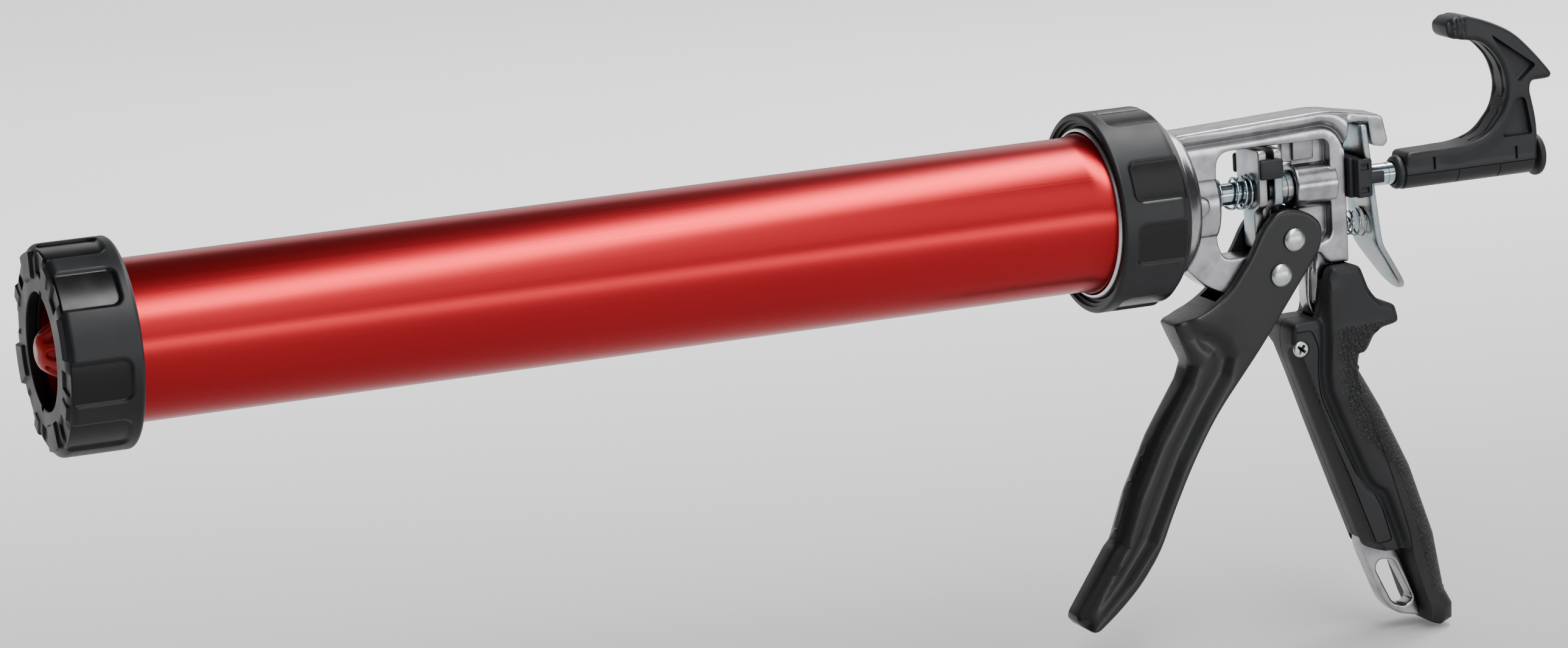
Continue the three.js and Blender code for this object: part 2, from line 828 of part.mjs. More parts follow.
// ---- Springs ----
function mainSpring() {
  const wire = 0.5;
  return coil(FRONT_BOSS_X + GAP + wire, PLATE_FRONT_X - GAP - wire, 0, 4.9, 6.1, wire, 4);
}

function releaseSpring() {
  const wire = 0.35;
  const leverFace = LEVER_BEND[0] - LEVER_HALF_THICK - 1.6;
  return coil(UPRIGHT_REAR_X + GAP + wire, leverFace - GAP - wire, STUD_Z, 3, 5, wire, 4);
}

// ---- Materials ----
function finish(color, roughness, metalness) {
  return new THREE.MeshStandardMaterial({ color, roughness, metalness });
}

const ANODISED = finish(0xb3121d, 0.35, 0.9);
const PLASTIC = finish(0x2d2e31, 0.55, 0);
const PAINT = finish(0x1c1c1f, 0.35, 0.1);
const CASTING = finish(0xc9cacc, 0.25, 1);
const STEEL = finish(0xaeb4ba, 0.3, 1);
const RUBBER = finish(0x202022, 0.8, 0);
const RED = finish(0xc8181c, 0.45, 0);

// ---- Assembly ----
const gun = new THREE.Group();

function add(parent, name, body, material) {
  const mesh = new THREE.Mesh(geometryOf(body), material);
  mesh.name = name;
  parent.add(mesh);
}

const front = new THREE.Group();
add(front, "barrel_tube", barrelTube(), ANODISED);
add(front, "front_cap", frontCap(), PLASTIC);
add(front, "nozzle_washer", nozzleWasher(), RUBBER);
add(front, "rear_collar", rearCollar(), PLASTIC);
add(front, "slip_ring", slipRing(), STEEL);
add(front, "thrust_washer", thrustWasher(), PLASTIC);

const plunger = new THREE.Group();
add(plunger, "plunger_nose", plungerNose(), RED);
add(plunger, "piston_seal", pistonSeal(), RUBBER);
add(plunger, "piston_washer", pistonWasher(), STEEL);
add(plunger, "piston_nut", pistonNut(), STEEL);
add(plunger, "push_rod", pushRod(), STEEL);
add(plunger, "hook_ring", hookRing(), PLASTIC);
add(plunger, "pull_hook", pullHook(), PLASTIC);
add(plunger, "hook_cover", hookCover(), PLASTIC);
add(plunger, "rod_end_disc", rodEndDisc(), PLASTIC);

const handle = new THREE.Group();
const shells = gripShells();
add(handle, "frame_casting", frameCasting(), CASTING);
add(handle, "grip_shell_left", shells.left, PLASTIC);
add(handle, "grip_shell_right", shells.right, PLASTIC);
add(handle, "grip_screw", gripScrew(), STEEL);
add(handle, "grip_backstrap", gripBackstrap(), RUBBER);
add(handle, "rod_bush", rodBush(), STEEL);
add(handle, "release_guide", releaseGuide(), PLASTIC);
add(handle, "pivot_rivet", rivet(PIVOT), STEEL);

const action = new THREE.Group();
add(action, "trigger", trigger(), PAINT);
add(action, "drive_rivet", rivet(DRIVE_PIN), STEEL);
add(action, "drive_plate_front", drivePlate(PLATE_FRONT_X), STEEL);
add(action, "drive_plate_rear", drivePlate(PLATE_REAR_X), STEEL);
add(action, "plate_clip", plateClip(), PLASTIC);
add(action, "main_spring", mainSpring(), STEEL);
add(action, "release_lever", releaseLever(), STEEL);
add(action, "release_spring", releaseSpring(), STEEL);

gun.add(front, plunger, handle, action);
const bounds = new THREE.Box3().setFromObject(gun, true);
gun.position.set(-(bounds.min.x + bounds.max.x) / 2, -(bounds.min.y + bounds.max.y) / 2, -bounds.min.z);

export default gun;
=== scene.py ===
"""The looks of a caulking gun with a rotating red barrel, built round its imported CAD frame.

Lengths are in millimetres in the barrel's own axes until a piece is put in place: X runs from the muzzle to the
rear with 0 at the cap's front face, Y is across the gun with its left side at minus Y, and Z is up from the axis.
"""

import json
import math

import bmesh
import bpy
import numpy as np
from mathutils import Matrix, Vector
from mathutils.geometry import delaunay_2d_cdt


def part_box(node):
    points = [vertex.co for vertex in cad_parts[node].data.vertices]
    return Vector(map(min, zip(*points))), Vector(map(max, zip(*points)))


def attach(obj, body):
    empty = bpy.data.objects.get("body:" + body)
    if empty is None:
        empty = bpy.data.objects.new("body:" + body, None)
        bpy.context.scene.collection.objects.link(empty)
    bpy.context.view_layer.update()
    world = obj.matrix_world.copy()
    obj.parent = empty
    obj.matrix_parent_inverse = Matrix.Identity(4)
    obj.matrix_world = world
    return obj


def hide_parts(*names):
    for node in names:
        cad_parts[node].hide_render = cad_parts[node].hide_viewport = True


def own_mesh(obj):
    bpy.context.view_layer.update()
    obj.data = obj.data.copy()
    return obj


MM = 0.001
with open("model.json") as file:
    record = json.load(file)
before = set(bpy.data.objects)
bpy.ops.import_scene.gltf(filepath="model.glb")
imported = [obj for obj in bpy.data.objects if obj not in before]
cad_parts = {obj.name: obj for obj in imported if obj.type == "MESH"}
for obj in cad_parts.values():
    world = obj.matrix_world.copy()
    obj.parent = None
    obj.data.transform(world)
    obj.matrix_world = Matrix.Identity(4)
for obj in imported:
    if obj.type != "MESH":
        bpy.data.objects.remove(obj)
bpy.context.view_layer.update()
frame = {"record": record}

# ---- Driving dimensions, the same as the CAD part's ----
BARREL_FRONT_X = 5.5
BARREL_R = 27
BARREL_BORE_R = 25.7
ROD_R = 4
ROD_HOLE_R = 4.3
FRAME_HALF = 6
TANG_HALF = 3.5
CHEEK_HALF = 9.5
CLEVIS_HALF = 6.3
FINGER_HALF = 7.9
FINGER_BEND = 6 # how far the rounding of the finger piece reaches back from its front
GRIP_HALF = 12
SIDE_HALF = 10.6
HOOK_HALF = 7.5
SLEEVE_R = 6.3
SLEEVE = (493.5, 545.3)
PIVOT = (441, -29.3)
DRIVE_PIN = (446.6, -17.3)
SCREW = (447.1, -56.6)
CAP_FIRST_PAIR = 62
COLLAR_FIRST_PAIR = 7
PANEL_OFFSET = 18.5
PANEL_HALF_MM = 7.4
PANEL_DEPTH = 1
STRAP_BEND = 9
BOSS_TALL = 1.45 # how much taller than wide the front boss is
BOSS_DROP = -2.8
GRIPPED_R = 35

AXIS_Z = sum(corner.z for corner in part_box("push_rod")) / 2
ORIGIN = Vector((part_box("barrel_tube")[0].x - BARREL_FRONT_X * MM, 0, AXIS_Z))
TO_ROW = Matrix.Translation(ORIGIN) @ Matrix.Scale(MM, 4)

BODY_OF = {
    node: body
    for body, nodes in frame["record"]["behaviour"]["bodies"].items()
    for node in nodes
}

# ---- Outlines ----
def rounded(corners, step=0.8, bend=6):
    """Points close together round an outline of [x, z, radius] corners, anticlockwise."""
    flat = [Vector(corner[:2]) for corner in corners]
    points = []
    for i, corner in enumerate(corners):
        here = flat[i]
        back = flat[i - 1] - here
        ahead = flat[(i + 1) % len(flat)] - here
        radius = corner[2] if len(corner) > 2 else 0
        reach = min(radius, 0.45 * back.length, 0.45 * ahead.length)
        start = here + back.normalized() * reach
        end = here + ahead.normalized() * reach
        for k in range(bend + 1 if reach > 0 else 1):
            t = k / bend
            points.append((1 - t) ** 2 * start + 2 * t * (1 - t) * here + t * t * end)
    spaced = []
    for i, a in enumerate(points):
        b = points[(i + 1) % len(points)]
        length = (b - a).length
        count = max(math.ceil(length / step - 0.01), 1) if length > 0.01 else 0
        spaced += [a.lerp(b, k / count) for k in range(count)]
    return anticlockwise(np.array(spaced))


def anticlockwise(points):
    x, z = points.T
    area = np.sum(x * np.roll(z, -1) - np.roll(x, -1) * z)
    return points if area > 0 else points[::-1]


def circle(x, z, radius, count=48):
    angle = np.linspace(0, 2 * math.pi, count, endpoint=False)
    return np.stack([x + radius * np.cos(angle), z + radius * np.sin(angle)], 1)


def distance(samples, line, closed=True):
    """How far each sample is from a line of points."""
    starts = line if closed else line[:-1]
    ends = np.roll(line, -1, 0) if closed else line[1:]
    best = np.full(len(samples), 1e9)
    for a, b in zip(starts, ends):
        along = b - a
        t = np.clip((samples - a) @ along / max(along @ along, 1e-12), 0, 1)
        best = np.minimum(best, np.linalg.norm(samples - a - t[:, None] * along, axis=1))
    return best


def inside(samples, loop):
    x, z = samples.T
    odd = np.zeros(len(samples), bool)
    for (ax, az), (bx, bz) in zip(loop, np.roll(loop, -1, 0)):
        if az != bz:
            crosses = (az > z) != (bz > z)
            odd ^= crosses & (x < (bx - ax) * (z - az) / (bz - az) + ax)
    return odd


def smooth(value, width):
    """0 below minus width, 1 above width, and smooth between."""
    t = np.clip((value + width) / (2 * width), 0, 1)
    return t * t * (3 - 2 * t)


def inset(loop, depth):
    along = np.roll(loop, -1, 0) - np.roll(loop, 1, 0)
    along /= np.maximum(np.linalg.norm(along, axis=1), 1e-9)[:, None]
    return loop + depth * np.stack([-along[:, 1], along[:, 0]], 1)


# ---- Meshes ----
def mesh_object(name, vertices, faces, polish=None):
    mesh = bpy.data.meshes.new(name)
    mesh.from_pydata([tuple(v) for v in vertices], [], faces)
    obj = bpy.data.objects.new(name, mesh)
    bpy.context.scene.collection.objects.link(obj)
    if polish is not None:
        mark(obj, "polish", polish)
    tidy(obj)
    return obj


def tidy(obj, gap=1e-4):
    """Joins vertices that lie together and turns every face outwards."""
    work = bmesh.new()
    work.from_mesh(obj.data)
    bmesh.ops.remove_doubles(work, verts=work.verts, dist=gap)
    bmesh.ops.dissolve_degenerate(work, edges=work.edges, dist=gap)
    bmesh.ops.recalc_face_normals(work, faces=work.faces)
    work.to_mesh(obj.data)
    work.free()


def mark(obj, name, values):
    layer = obj.data.attributes.new(name, "FLOAT", "POINT")
    layer.data.foreach_set("value", np.asarray(values, np.float32))


def beside(points, offsets, step=1.0):
    """Sample points every step along a line, and along lines beside it at the offsets."""
    line = np.array(points, float)
    found = []
    for a, b in zip(line[:-1], line[1:]):
        length = math.dist(a, b)
        normal = np.array([a[1] - b[1], b[0] - a[0]]) / length
        places = a + (b - a) * np.arange(0, 1, step / length)[:, None]
        found += [places + normal * offset for offset in offsets]
    return np.concatenate(found)


def pillow(name, loops, half, ease=0.5, grid=6.0, rings=4, seams=()):
    """A piece the same on both sides of the gun, with its edges rounded to the radius ease.
    loops are its outline and then its holes. half is half its thickness, a number or a function of x and z.
    seams are lines where the thickness changes quickly, each with the offsets that need extra points."""
    loops = [anticlockwise(loops[0])] + [anticlockwise(hole)[::-1] for hole in loops[1:]]
    rim = np.concatenate(loops)
    samples, needed = [], []
    for k in range(1, rings + 1):
        depth = ease * (1 - math.cos(math.pi / 2 * k / rings))
        for loop in loops:
            ring = inset(loop, depth)
            samples.append(ring)
            needed.append(np.full(len(ring), 0.96 * depth))
    low, high = rim.min(0), rim.max(0)
    xs, zs = np.meshgrid(np.arange(low[0], high[0], grid), np.arange(low[1], high[1], grid))
    lattice = np.stack([xs.ravel(), zs.ravel()], 1)
    for line, offsets in seams:
        clear = max(map(abs, offsets)) + 0.7 * grid
        lattice = lattice[distance(lattice, np.array(line, float), False) > clear]
        extra = beside(line, offsets)
        samples.append(extra)
        needed.append(np.full(len(extra), ease + 0.2))
    samples.append(lattice)
    needed.append(np.full(len(lattice), ease + 0.35 * min(grid, 1.5)))
    samples, needed = np.concatenate(samples), np.concatenate(needed)
    within = inside(samples, loops[0])
    for hole in loops[1:]:
        within &= ~inside(samples, hole)
    samples, needed = samples[within], needed[within]
    reach = np.min([distance(samples, loop) for loop in loops], 0)
    samples = samples[reach >= needed]
    edges, start = [], 0
    for loop in loops:
        count = len(loop)
        edges += [(start + i, start + (i + 1) % count) for i in range(count)]
        start += count
    points = np.concatenate([rim, samples])
    result = delaunay_2d_cdt([Vector(p) for p in points], edges, [], 0, 1e-5)
    flat = np.array([tuple(v) for v in result[0]])
    triangles = np.array(result[2])
    centres = flat[triangles].mean(1)
    kept = inside(centres, loops[0])
    for hole in loops[1:]:
        kept &= ~inside(centres, hole)
    triangles = triangles[kept]
    a, b, c = (flat[triangles[:, k]] for k in range(3))
    turned_back = (b - a)[:, 0] * (c - a)[:, 1] - (b - a)[:, 1] * (c - a)[:, 0] < 0
    triangles[turned_back] = triangles[turned_back][:, ::-1]
    depth = np.min([distance(flat, loop) for loop in loops], 0)
    thick = half(flat[:, 0], flat[:, 1]) if callable(half) else np.full(len(flat), float(half))
    bend = np.minimum(ease, thick)
    y = thick - bend + np.sqrt(np.maximum(bend**2 - (bend - np.minimum(depth, bend)) ** 2, 0))
    left = np.stack([flat[:, 0], -y, flat[:, 1]], 1)
    right = np.stack([flat[:, 0], y, flat[:, 1]], 1)
    index = {}
    for new, olds in enumerate(result[3]):
        for old in olds:
            index[old] = new
    count = len(flat)
    faces = triangles.tolist() + (triangles[:, ::-1] + count).tolist()
    for i, j in edges:
        i, j = index[i], index[j]
        faces.append([i, i + count, j + count, j])
    return mesh_object(name, np.concatenate([left, right]), faces)


def turned(name, profile, count=128, relief=None):
    """A closed profile of (x, radius) points turned round the barrel axis.
    relief changes x and radius at an angle in degrees above the left side, and gives how polished each point is."""
    size = len(profile)
    vertices, polish = [], []
    for degrees in np.arange(count) * 360 / count:
        x, r = profile.T
        shine = np.zeros(size)
        if relief:
            x, r, shine = relief(x, r, degrees)
        angle = math.radians(degrees)
        vertices.append(np.stack([x, -r * math.cos(angle), r * math.sin(angle)], 1))
        polish.append(shine)
    faces = []
    for a in range(count):
        b = (a + 1) % count
        for i in range(size):
            j = (i + 1) % size
            faces.append([a * size + i, a * size + j, b * size + j, b * size + i])
    return mesh_object(name, np.concatenate(vertices), faces, np.concatenate(polish))


def lathed(name, corners, count=96, step=60):
    return turned(name, rounded(corners, step=step, bend=4), count)


def moved(obj, matrix):
    obj.data.transform(matrix)
    tidy(obj)
    return obj


def block(name, x, y, z, ease=0.3):
    """A box with eased edges. x, y and z are its low and high sides."""
    outline = rounded([(x[0], z[0], ease), (x[1], z[0], ease), (x[1], z[1], ease), (x[0], z[1], ease)], 5, 3)
    obj = pillow(name, [outline], (y[1] - y[0]) / 2, ease, 20, 2)
    return moved(obj, Matrix.Translation((0, (y[0] + y[1]) / 2, 0)))


def plate_across(name, loops, thickness, x, ease=0.4, lean=None):
    """A plate across the gun: its loops are of (y, z) points, and lean moves it along X by height."""
    obj = pillow(name, loops, thickness / 2, ease, 4 if lean else 20, 3)
    for vertex in obj.data.vertices:
        y, t, z = vertex.co
        vertex.co = (x + t + (lean(z) if lean else 0), y, z)
    tidy(obj)
    return obj


def pin(name, x, z, radius, low, high, count=48):
    """A plain pin across the gun, for cutting."""
    obj = lathed(name, [(low, 0), (low, radius), (high, radius), (high, 0)], count)
    return moved(obj, Matrix.Translation((x, 0, z)) @ Matrix.Rotation(math.pi / 2, 4, "Z"))


def tube(name, path, radius, sides=12):
    """Round wire along a path of points."""
    path = np.array(path, float)
    along = np.gradient(path, axis=0)
    along /= np.linalg.norm(along, axis=1)[:, None]
    across = Vector((0.3, 0.2, 0.9)).cross(Vector(along[0])).normalized()
    vertices = []
    for point, direction in zip(path, along):
        direction = Vector(direction)
        across = (across - direction * across.dot(direction)).normalized()
        other = direction.cross(across)
        for k in range(sides):
            angle = 2 * math.pi * k / sides
            vertices.append(Vector(point) + radius * (math.cos(angle) * across + math.sin(angle) * other))
    faces = [list(range(sides)), list(range(len(vertices) - sides, len(vertices)))]
    for a in range(len(path) - 1):
        for k in range(sides):
            n = (k + 1) % sides
            faces.append([a * sides + k, a * sides + n, (a + 1) * sides + n, (a + 1) * sides + k])
    return mesh_object(name, vertices, faces)


def combined(obj, tools, how="DIFFERENCE"):
    """obj cut by, joined with or limited to each of the tools, which are used up."""
    for tool in tools:
        change = obj.modifiers.new("change", "BOOLEAN")
        change.operation = how
        change.solver = "MANIFOLD"
        change.object = tool
        graph = bpy.context.evaluated_depsgraph_get()
        mesh = bpy.data.meshes.new_from_object(obj.evaluated_get(graph))
        obj.modifiers.clear()
        obj.data = mesh
        bpy.data.objects.remove(tool)
    return obj


def twin(obj, name):
    copy = obj.copy()
    copy.data = obj.data.copy()
    copy.name = name
    bpy.context.scene.collection.objects.link(copy)
    return copy


def dress(obj, node, finish, sharp=32):
    """Puts a piece in place of its CAD node, with its material and its body."""
    obj.name = "look_" + node
    obj.data.transform(TO_ROW)
    for polygon in obj.data.polygons:
        polygon.use_smooth = True
    obj.data.set_sharp_from_angle(angle=math.radians(sharp))
    obj.data.materials.clear()
    obj.data.materials.append(finish[1])
    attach(obj, BODY_OF[node])
    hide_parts(node)
    return obj


# ---- Materials ----
def nodes_of(name):
    """A new material's node tree, its main shader, and its object coordinates."""
    material = bpy.data.materials.new(name)
    material.use_nodes = True
    tree = material.node_tree
    shader = tree.nodes["Principled BSDF"]
    place = tree.nodes.new("ShaderNodeTexCoord").outputs["Object"]
    return material, tree, shader, place


def noise(tree, place, size, detail=3, stretch=(1, 1, 1)):
    """Noise with features size millimetres across, drawn out along each axis by stretch."""
    scale = tree.nodes.new("ShaderNodeMapping")
    scale.inputs["Scale"].default_value = [1 / (size * MM * part) for part in stretch]
    tree.links.new(place, scale.inputs["Vector"])
    texture = tree.nodes.new("ShaderNodeTexNoise")
    texture.inputs["Scale"].default_value = 1
    texture.inputs["Detail"].default_value = detail
    tree.links.new(scale.outputs["Vector"], texture.inputs["Vector"])
    return texture.outputs["Fac"]


def cells(tree, place, size):
    scale = tree.nodes.new("ShaderNodeMapping")
    scale.inputs["Scale"].default_value = [1 / (size * MM)] * 3
    tree.links.new(place, scale.inputs["Vector"])
    texture = tree.nodes.new("ShaderNodeTexVoronoi")
    texture.feature = "DISTANCE_TO_EDGE"
    texture.inputs["Scale"].default_value = 1
    tree.links.new(scale.outputs["Vector"], texture.inputs["Vector"])
    return texture.outputs["Distance"]


def ranged(tree, value, low, high, from_low=0.3, from_high=0.7):
    change = tree.nodes.new("ShaderNodeMapRange")
    change.inputs["From Min"].default_value = from_low
    change.inputs["From Max"].default_value = from_high
    change.inputs["To Min"].default_value = low
    change.inputs["To Max"].default_value = high
    tree.links.new(value, change.inputs["Value"])
    return change.outputs["Result"]


def blended(tree, factor, colours, stops):
    ramp = tree.nodes.new("ShaderNodeValToRGB")
    while len(ramp.color_ramp.elements) < len(colours):
        ramp.color_ramp.elements.new(0.5)
    for element, colour, stop in zip(ramp.color_ramp.elements, colours, stops):
        element.position = stop
        element.color = (*colour, 1)
    tree.links.new(factor, ramp.inputs["Fac"])
    return ramp.outputs["Color"]


def maths(tree, operation, *values):
    node = tree.nodes.new("ShaderNodeMath")
    node.operation = operation
    for socket, value in zip(node.inputs, values):
        if isinstance(value, (int, float)):
            socket.default_value = value
        else:
            tree.links.new(value, socket)
    return node.outputs["Value"]


def bumped(tree, shader, height, depth, strength=1.0, under=None):
    """Raises the surface by height, depth millimetres at the most. Gives the normal, for another layer."""
    bump = tree.nodes.new("ShaderNodeBump")
    bump.inputs["Distance"].default_value = depth * MM
    bump.inputs["Strength"].default_value = strength
    tree.links.new(height, bump.inputs["Height"])
    if under:
        tree.links.new(under, bump.inputs["Normal"])
    tree.links.new(bump.outputs["Normal"], shader.inputs["Normal"])
    return bump.outputs["Normal"]


def eased_normal(tree, radius):
    """A normal that rounds the inner and outer corners of a casting."""
    bevel = tree.nodes.new("ShaderNodeBevel")
    bevel.samples = 6
    bevel.inputs["Radius"].default_value = radius * MM
    return bevel.outputs["Normal"]


def attribute(tree, name):
    node = tree.nodes.new("ShaderNodeAttribute")
    node.attribute_name = name
    return node.outputs["Fac"]


def anodised():
    material, tree, shader, place = nodes_of("red_anodised")
    shader.inputs["Metallic"].default_value = 0.92
    shader.inputs["Coat Weight"].default_value = 0.1
    shader.inputs["Coat Roughness"].default_value = 0.25
    cloud = noise(tree, place, 60, 2, (4, 1, 1))
    draw = noise(tree, place, 0.5, 3, (300, 1, 1))
    tone = blended(tree, cloud, [(0.36, 0.009, 0.015), (0.42, 0.012, 0.018)], [0.3, 0.7])
    tree.links.new(tone, shader.inputs["Base Color"])
    tree.links.new(ranged(tree, draw, 0.27, 0.3), shader.inputs["Roughness"])
    bumped(tree, shader, draw, 0.001, 0.15)
    return "red_anodised", material


def leathery(tree, place, shader, under=None):
    """Raises a leather-like skin of small pebbles where the piece is marked as grained."""
    hide = cells(tree, place, 1.5)
    fine = noise(tree, place, 0.3, 3)
    pebbles = maths(tree, "MINIMUM", maths(tree, "MULTIPLY", hide, 3.5), 0.6)
    skin = maths(tree, "ADD", pebbles, maths(tree, "MULTIPLY", fine, 0.4))
    raised = maths(tree, "MULTIPLY", skin, attribute(tree, "grain"))
    bumped(tree, shader, raised, 0.6, 1.0, under)


def moulded(name, dark, light, rough, grain=0.35, depth=0.02, hide=False, darker=1):
    """Matte moulded plastic: fine spark-eroded grain, cloudy tone, and smoother where it is marked as polished."""
    material, tree, shader, place = nodes_of(name)
    shader.inputs["Specular IOR Level"].default_value = 0.32
    cloud = noise(tree, place, 14, 4)
    fine = noise(tree, place, grain, 2)
    polish = attribute(tree, "polish")
    deep = [0.4 * part for part in dark]
    factor = maths(tree, "SUBTRACT", cloud, maths(tree, "MULTIPLY", polish, 0.6 * darker))
    tone = blended(tree, factor, [deep, dark, light], [0.05, 0.35, 0.65])
    tree.links.new(tone, shader.inputs["Base Color"])
    even = ranged(tree, cloud, rough - 0.05, rough + 0.06)
    tree.links.new(maths(tree, "SUBTRACT", even, maths(tree, "MULTIPLY", polish, 0.2)), shader.inputs["Roughness"])
    matte = maths(tree, "SUBTRACT", 1, maths(tree, "MULTIPLY", polish, 0.85))
    under = bumped(tree, shader, maths(tree, "MULTIPLY", fine, matte), depth, 0.5)
    if hide:
        leathery(tree, place, shader, under)
    return name, material


def leather_rubber():
    """Soft rubber with a leather-like grain where the piece is marked as grained."""
    material, tree, shader, place = nodes_of("grip_rubber")
    cloud = noise(tree, place, 10, 3)
    fine = noise(tree, place, 0.3, 3)
    tone = blended(tree, cloud, [(0.008, 0.0083, 0.009), (0.013, 0.0135, 0.0145)], [0.35, 0.65])
    tree.links.new(tone, shader.inputs["Base Color"])
    tree.links.new(ranged(tree, cloud, 0.44, 0.56), shader.inputs["Roughness"])
    shader.inputs["Specular IOR Level"].default_value = 0.3
    under = bumped(tree, shader, fine, 0.01, 0.4)
    leathery(tree, place, shader, under)
    return "grip_rubber", material


def plain_rubber():
    material, tree, shader, place = nodes_of("black_rubber")
    cloud = noise(tree, place, 5, 3)
    tone = blended(tree, cloud, [(0.012, 0.012, 0.013), (0.02, 0.02, 0.021)], [0.3, 0.7])
    tree.links.new(tone, shader.inputs["Base Color"])
    tree.links.new(ranged(tree, cloud, 0.45, 0.6), shader.inputs["Roughness"])
    bumped(tree, shader, noise(tree, place, 0.4, 2), 0.02, 0.4)
    return "black_rubber", material


def satin_paint():
    """Satin black paint over a casting: an even film with a slight orange peel and a few specks of dust."""
    material, tree, shader, place = nodes_of("black_paint")
    shader.inputs["Coat Weight"].default_value = 0.15
    shader.inputs["Coat Roughness"].default_value = 0.2
    shader.inputs["Specular IOR Level"].default_value = 0.35
    peel = noise(tree, place, 1.6, 2)
    dust = noise(tree, place, 0.8, 1)
    tone = blended(tree, dust, [(0.007, 0.0074, 0.0085), (0.009, 0.0094, 0.0105), (0.06, 0.06, 0.06)], [0.3, 0.8, 0.86])
    tree.links.new(tone, shader.inputs["Base Color"])
    tree.links.new(ranged(tree, peel, 0.36, 0.44), shader.inputs["Roughness"])
    bumped(tree, shader, peel, 0.02, 0.3)
    return "black_paint", material


def metal(name, tints, stops, rough, patch=12, scratch=0.25, stretch=(1, 1, 1), corner=0.0, pits=0.0, reach=3):
    """Bright metal: tints drift over patches patch millimetres across, with fine scratches drawn out by stretch. Its
    colour is darkened as painted shade in corners and hollows, within reach millimetres of other surfaces.
    """
    material, tree, shader, place = nodes_of(name)
    shader.inputs["Metallic"].default_value = 1
    drift = noise(tree, place, patch, 3)
    lines = noise(tree, place, scratch, 3, stretch)
    # Ambient occlusion darkens the colour in creases and hollows within reach millimetres: painted shade, not a colour
    # of the metal.
    painted_crevice_shade = tree.nodes.new("ShaderNodeAmbientOcclusion")
    painted_crevice_shade.inputs["Distance"].default_value = reach * MM
    painted_crevice_shade.samples = 6
    tree.links.new(blended(tree, drift, tints, stops), painted_crevice_shade.inputs["Color"])
    tree.links.new(painted_crevice_shade.outputs["Color"], shader.inputs["Base Color"])
    tree.links.new(ranged(tree, lines, rough[0], rough[1]), shader.inputs["Roughness"])
    under = eased_normal(tree, corner) if corner else None
    if pits:
        under = bumped(tree, shader, noise(tree, place, 2.6, 2), pits, 0.3, under)
    bumped(tree, shader, lines, 0.0015, 0.15, under)
    return name, material


ANODISED = anodised()
PLASTIC = moulded("black_plastic", (0.009, 0.0095, 0.011), (0.014, 0.0148, 0.017), 0.46)
GRIP_PLASTIC = moulded("grip_plastic", (0.008, 0.0085, 0.0095), (0.012, 0.0125, 0.014), 0.45, 0.3, 0.015, hide=True)
GRIP_RUBBER = leather_rubber()
BLACK_RUBBER = plain_rubber()
PAINT = satin_paint()
RED_PLASTIC = moulded("red_plastic", (0.52, 0.012, 0.014), (0.62, 0.018, 0.02), 0.42, 0.4, 0.012, darker=0)
CASTING = metal(
    "polished_casting",
    [(0.28, 0.28, 0.3), (0.46, 0.46, 0.475), (0.33, 0.33, 0.35)],
    [0.3, 0.55, 0.75],
    (0.2, 0.27),
    patch=9,
    scratch=0.8,
    corner=0.6,
    pits=0.004,
    reach=4,
)
ZINC = metal(
    "zinc_plate",
    [(0.2, 0.3, 0.34), (0.32, 0.38, 0.41), (0.38, 0.35, 0.33), (0.25, 0.29, 0.38)],
    [0.3, 0.45, 0.58, 0.72],
    (0.24, 0.38),
    patch=11,
    scratch=0.3,
    stretch=(1, 1, 8),
)
ROD_PLATE = metal(
    "plated_rod",
    [(0.36, 0.48, 0.54), (0.56, 0.62, 0.65)],
    [0.3, 0.7],
    (0.12, 0.22),
    patch=20,
    scratch=0.3,
    stretch=(60, 1, 1),
)
RIVET_STEEL = metal(
    "rivet_steel", [(0.5, 0.51, 0.52), (0.6, 0.61, 0.62)], [0.3, 0.7], (0.3, 0.4), patch=3, scratch=0.4, pits=0.03
)
# A far brighter copy of the plated metal, with almost no painted crevice shade: on the slip ring it paints in the
# silvery highlight of a rounded edge.
PAINTED_BRIGHT_STEEL = metal("steel_with_painted_highlight", [(0.72, 0.74, 0.76), (0.85, 0.86, 0.87)], [0.3, 0.7], (0.3, 0.42), patch=4, reach=0.4)


# ---- Barrel, cap and collar ----
def panel_offset(degrees, first_pair):
    """How many degrees the nearest finger panel's middle is from an angle."""
    angles = [first_pair + pair * 90 + side * PANEL_OFFSET for pair in range(4) for side in (-1, 1)]
    return min(abs((degrees - angle + 180) % 360 - 180) for angle in angles)


def panel_mask(x, offset, end_x, corner=3.2):
    """1 inside a finger panel with rounded corners that runs from the open side to end_x, and 0 outside it."""
    across = abs(math.radians(offset) * GRIPPED_R) - (PANEL_HALF_MM - corner)
    along = x - end_x + corner
    outside = np.hypot(max(across, 0), np.maximum(along, 0)) - corner
    return smooth(-np.maximum(outside, np.maximum(across, along) - corner), 0.6)


def cap_relief(x, r, degrees):
    offset = panel_offset(degrees, CAP_FIRST_PAIR)
    panel = panel_mask(x, offset, 21)
    deep = np.maximum(r - (GRIPPED_R - PANEL_DEPTH), 0) * panel
    front = (x < 1.6) & (r > 19.8)
    notch = smooth(6.5 - offset, 0.5) * smooth(r - 26.5, 0.4) * front
    new_x = x + notch * np.maximum(0.9 - x, 0)
    middle = abs((degrees - CAP_FIRST_PAIR) % 90 - 45)
    pad = smooth(12 - middle, 0.7) * smooth(r - 24, 0.35) * smooth(32.8 - r, 0.3) * front
    small = smooth(5 - abs(45 - middle), 0.6) * smooth(r - 27, 0.35) * smooth(32.8 - r, 0.3) * front
    new_x = new_x - pad * (new_x + 1) - small * (new_x + 0.5)
    hole_notch = smooth(3.5 - min(abs((degrees - 75) % 180), 180 - (degrees - 75) % 180), 0.4)
    return new_x, r - deep + 1.4 * hole_notch * (r < 20.5) * (x < 2), panel * (r > 33)


def collar_relief(x, r, degrees):
    offset = panel_offset(degrees, COLLAR_FIRST_PAIR)
    panel = panel_mask(-x, offset, -375)
    deep = np.maximum(r - (GRIPPED_R - PANEL_DEPTH), 0) * panel
    return x, r - deep, panel * (r > 33)


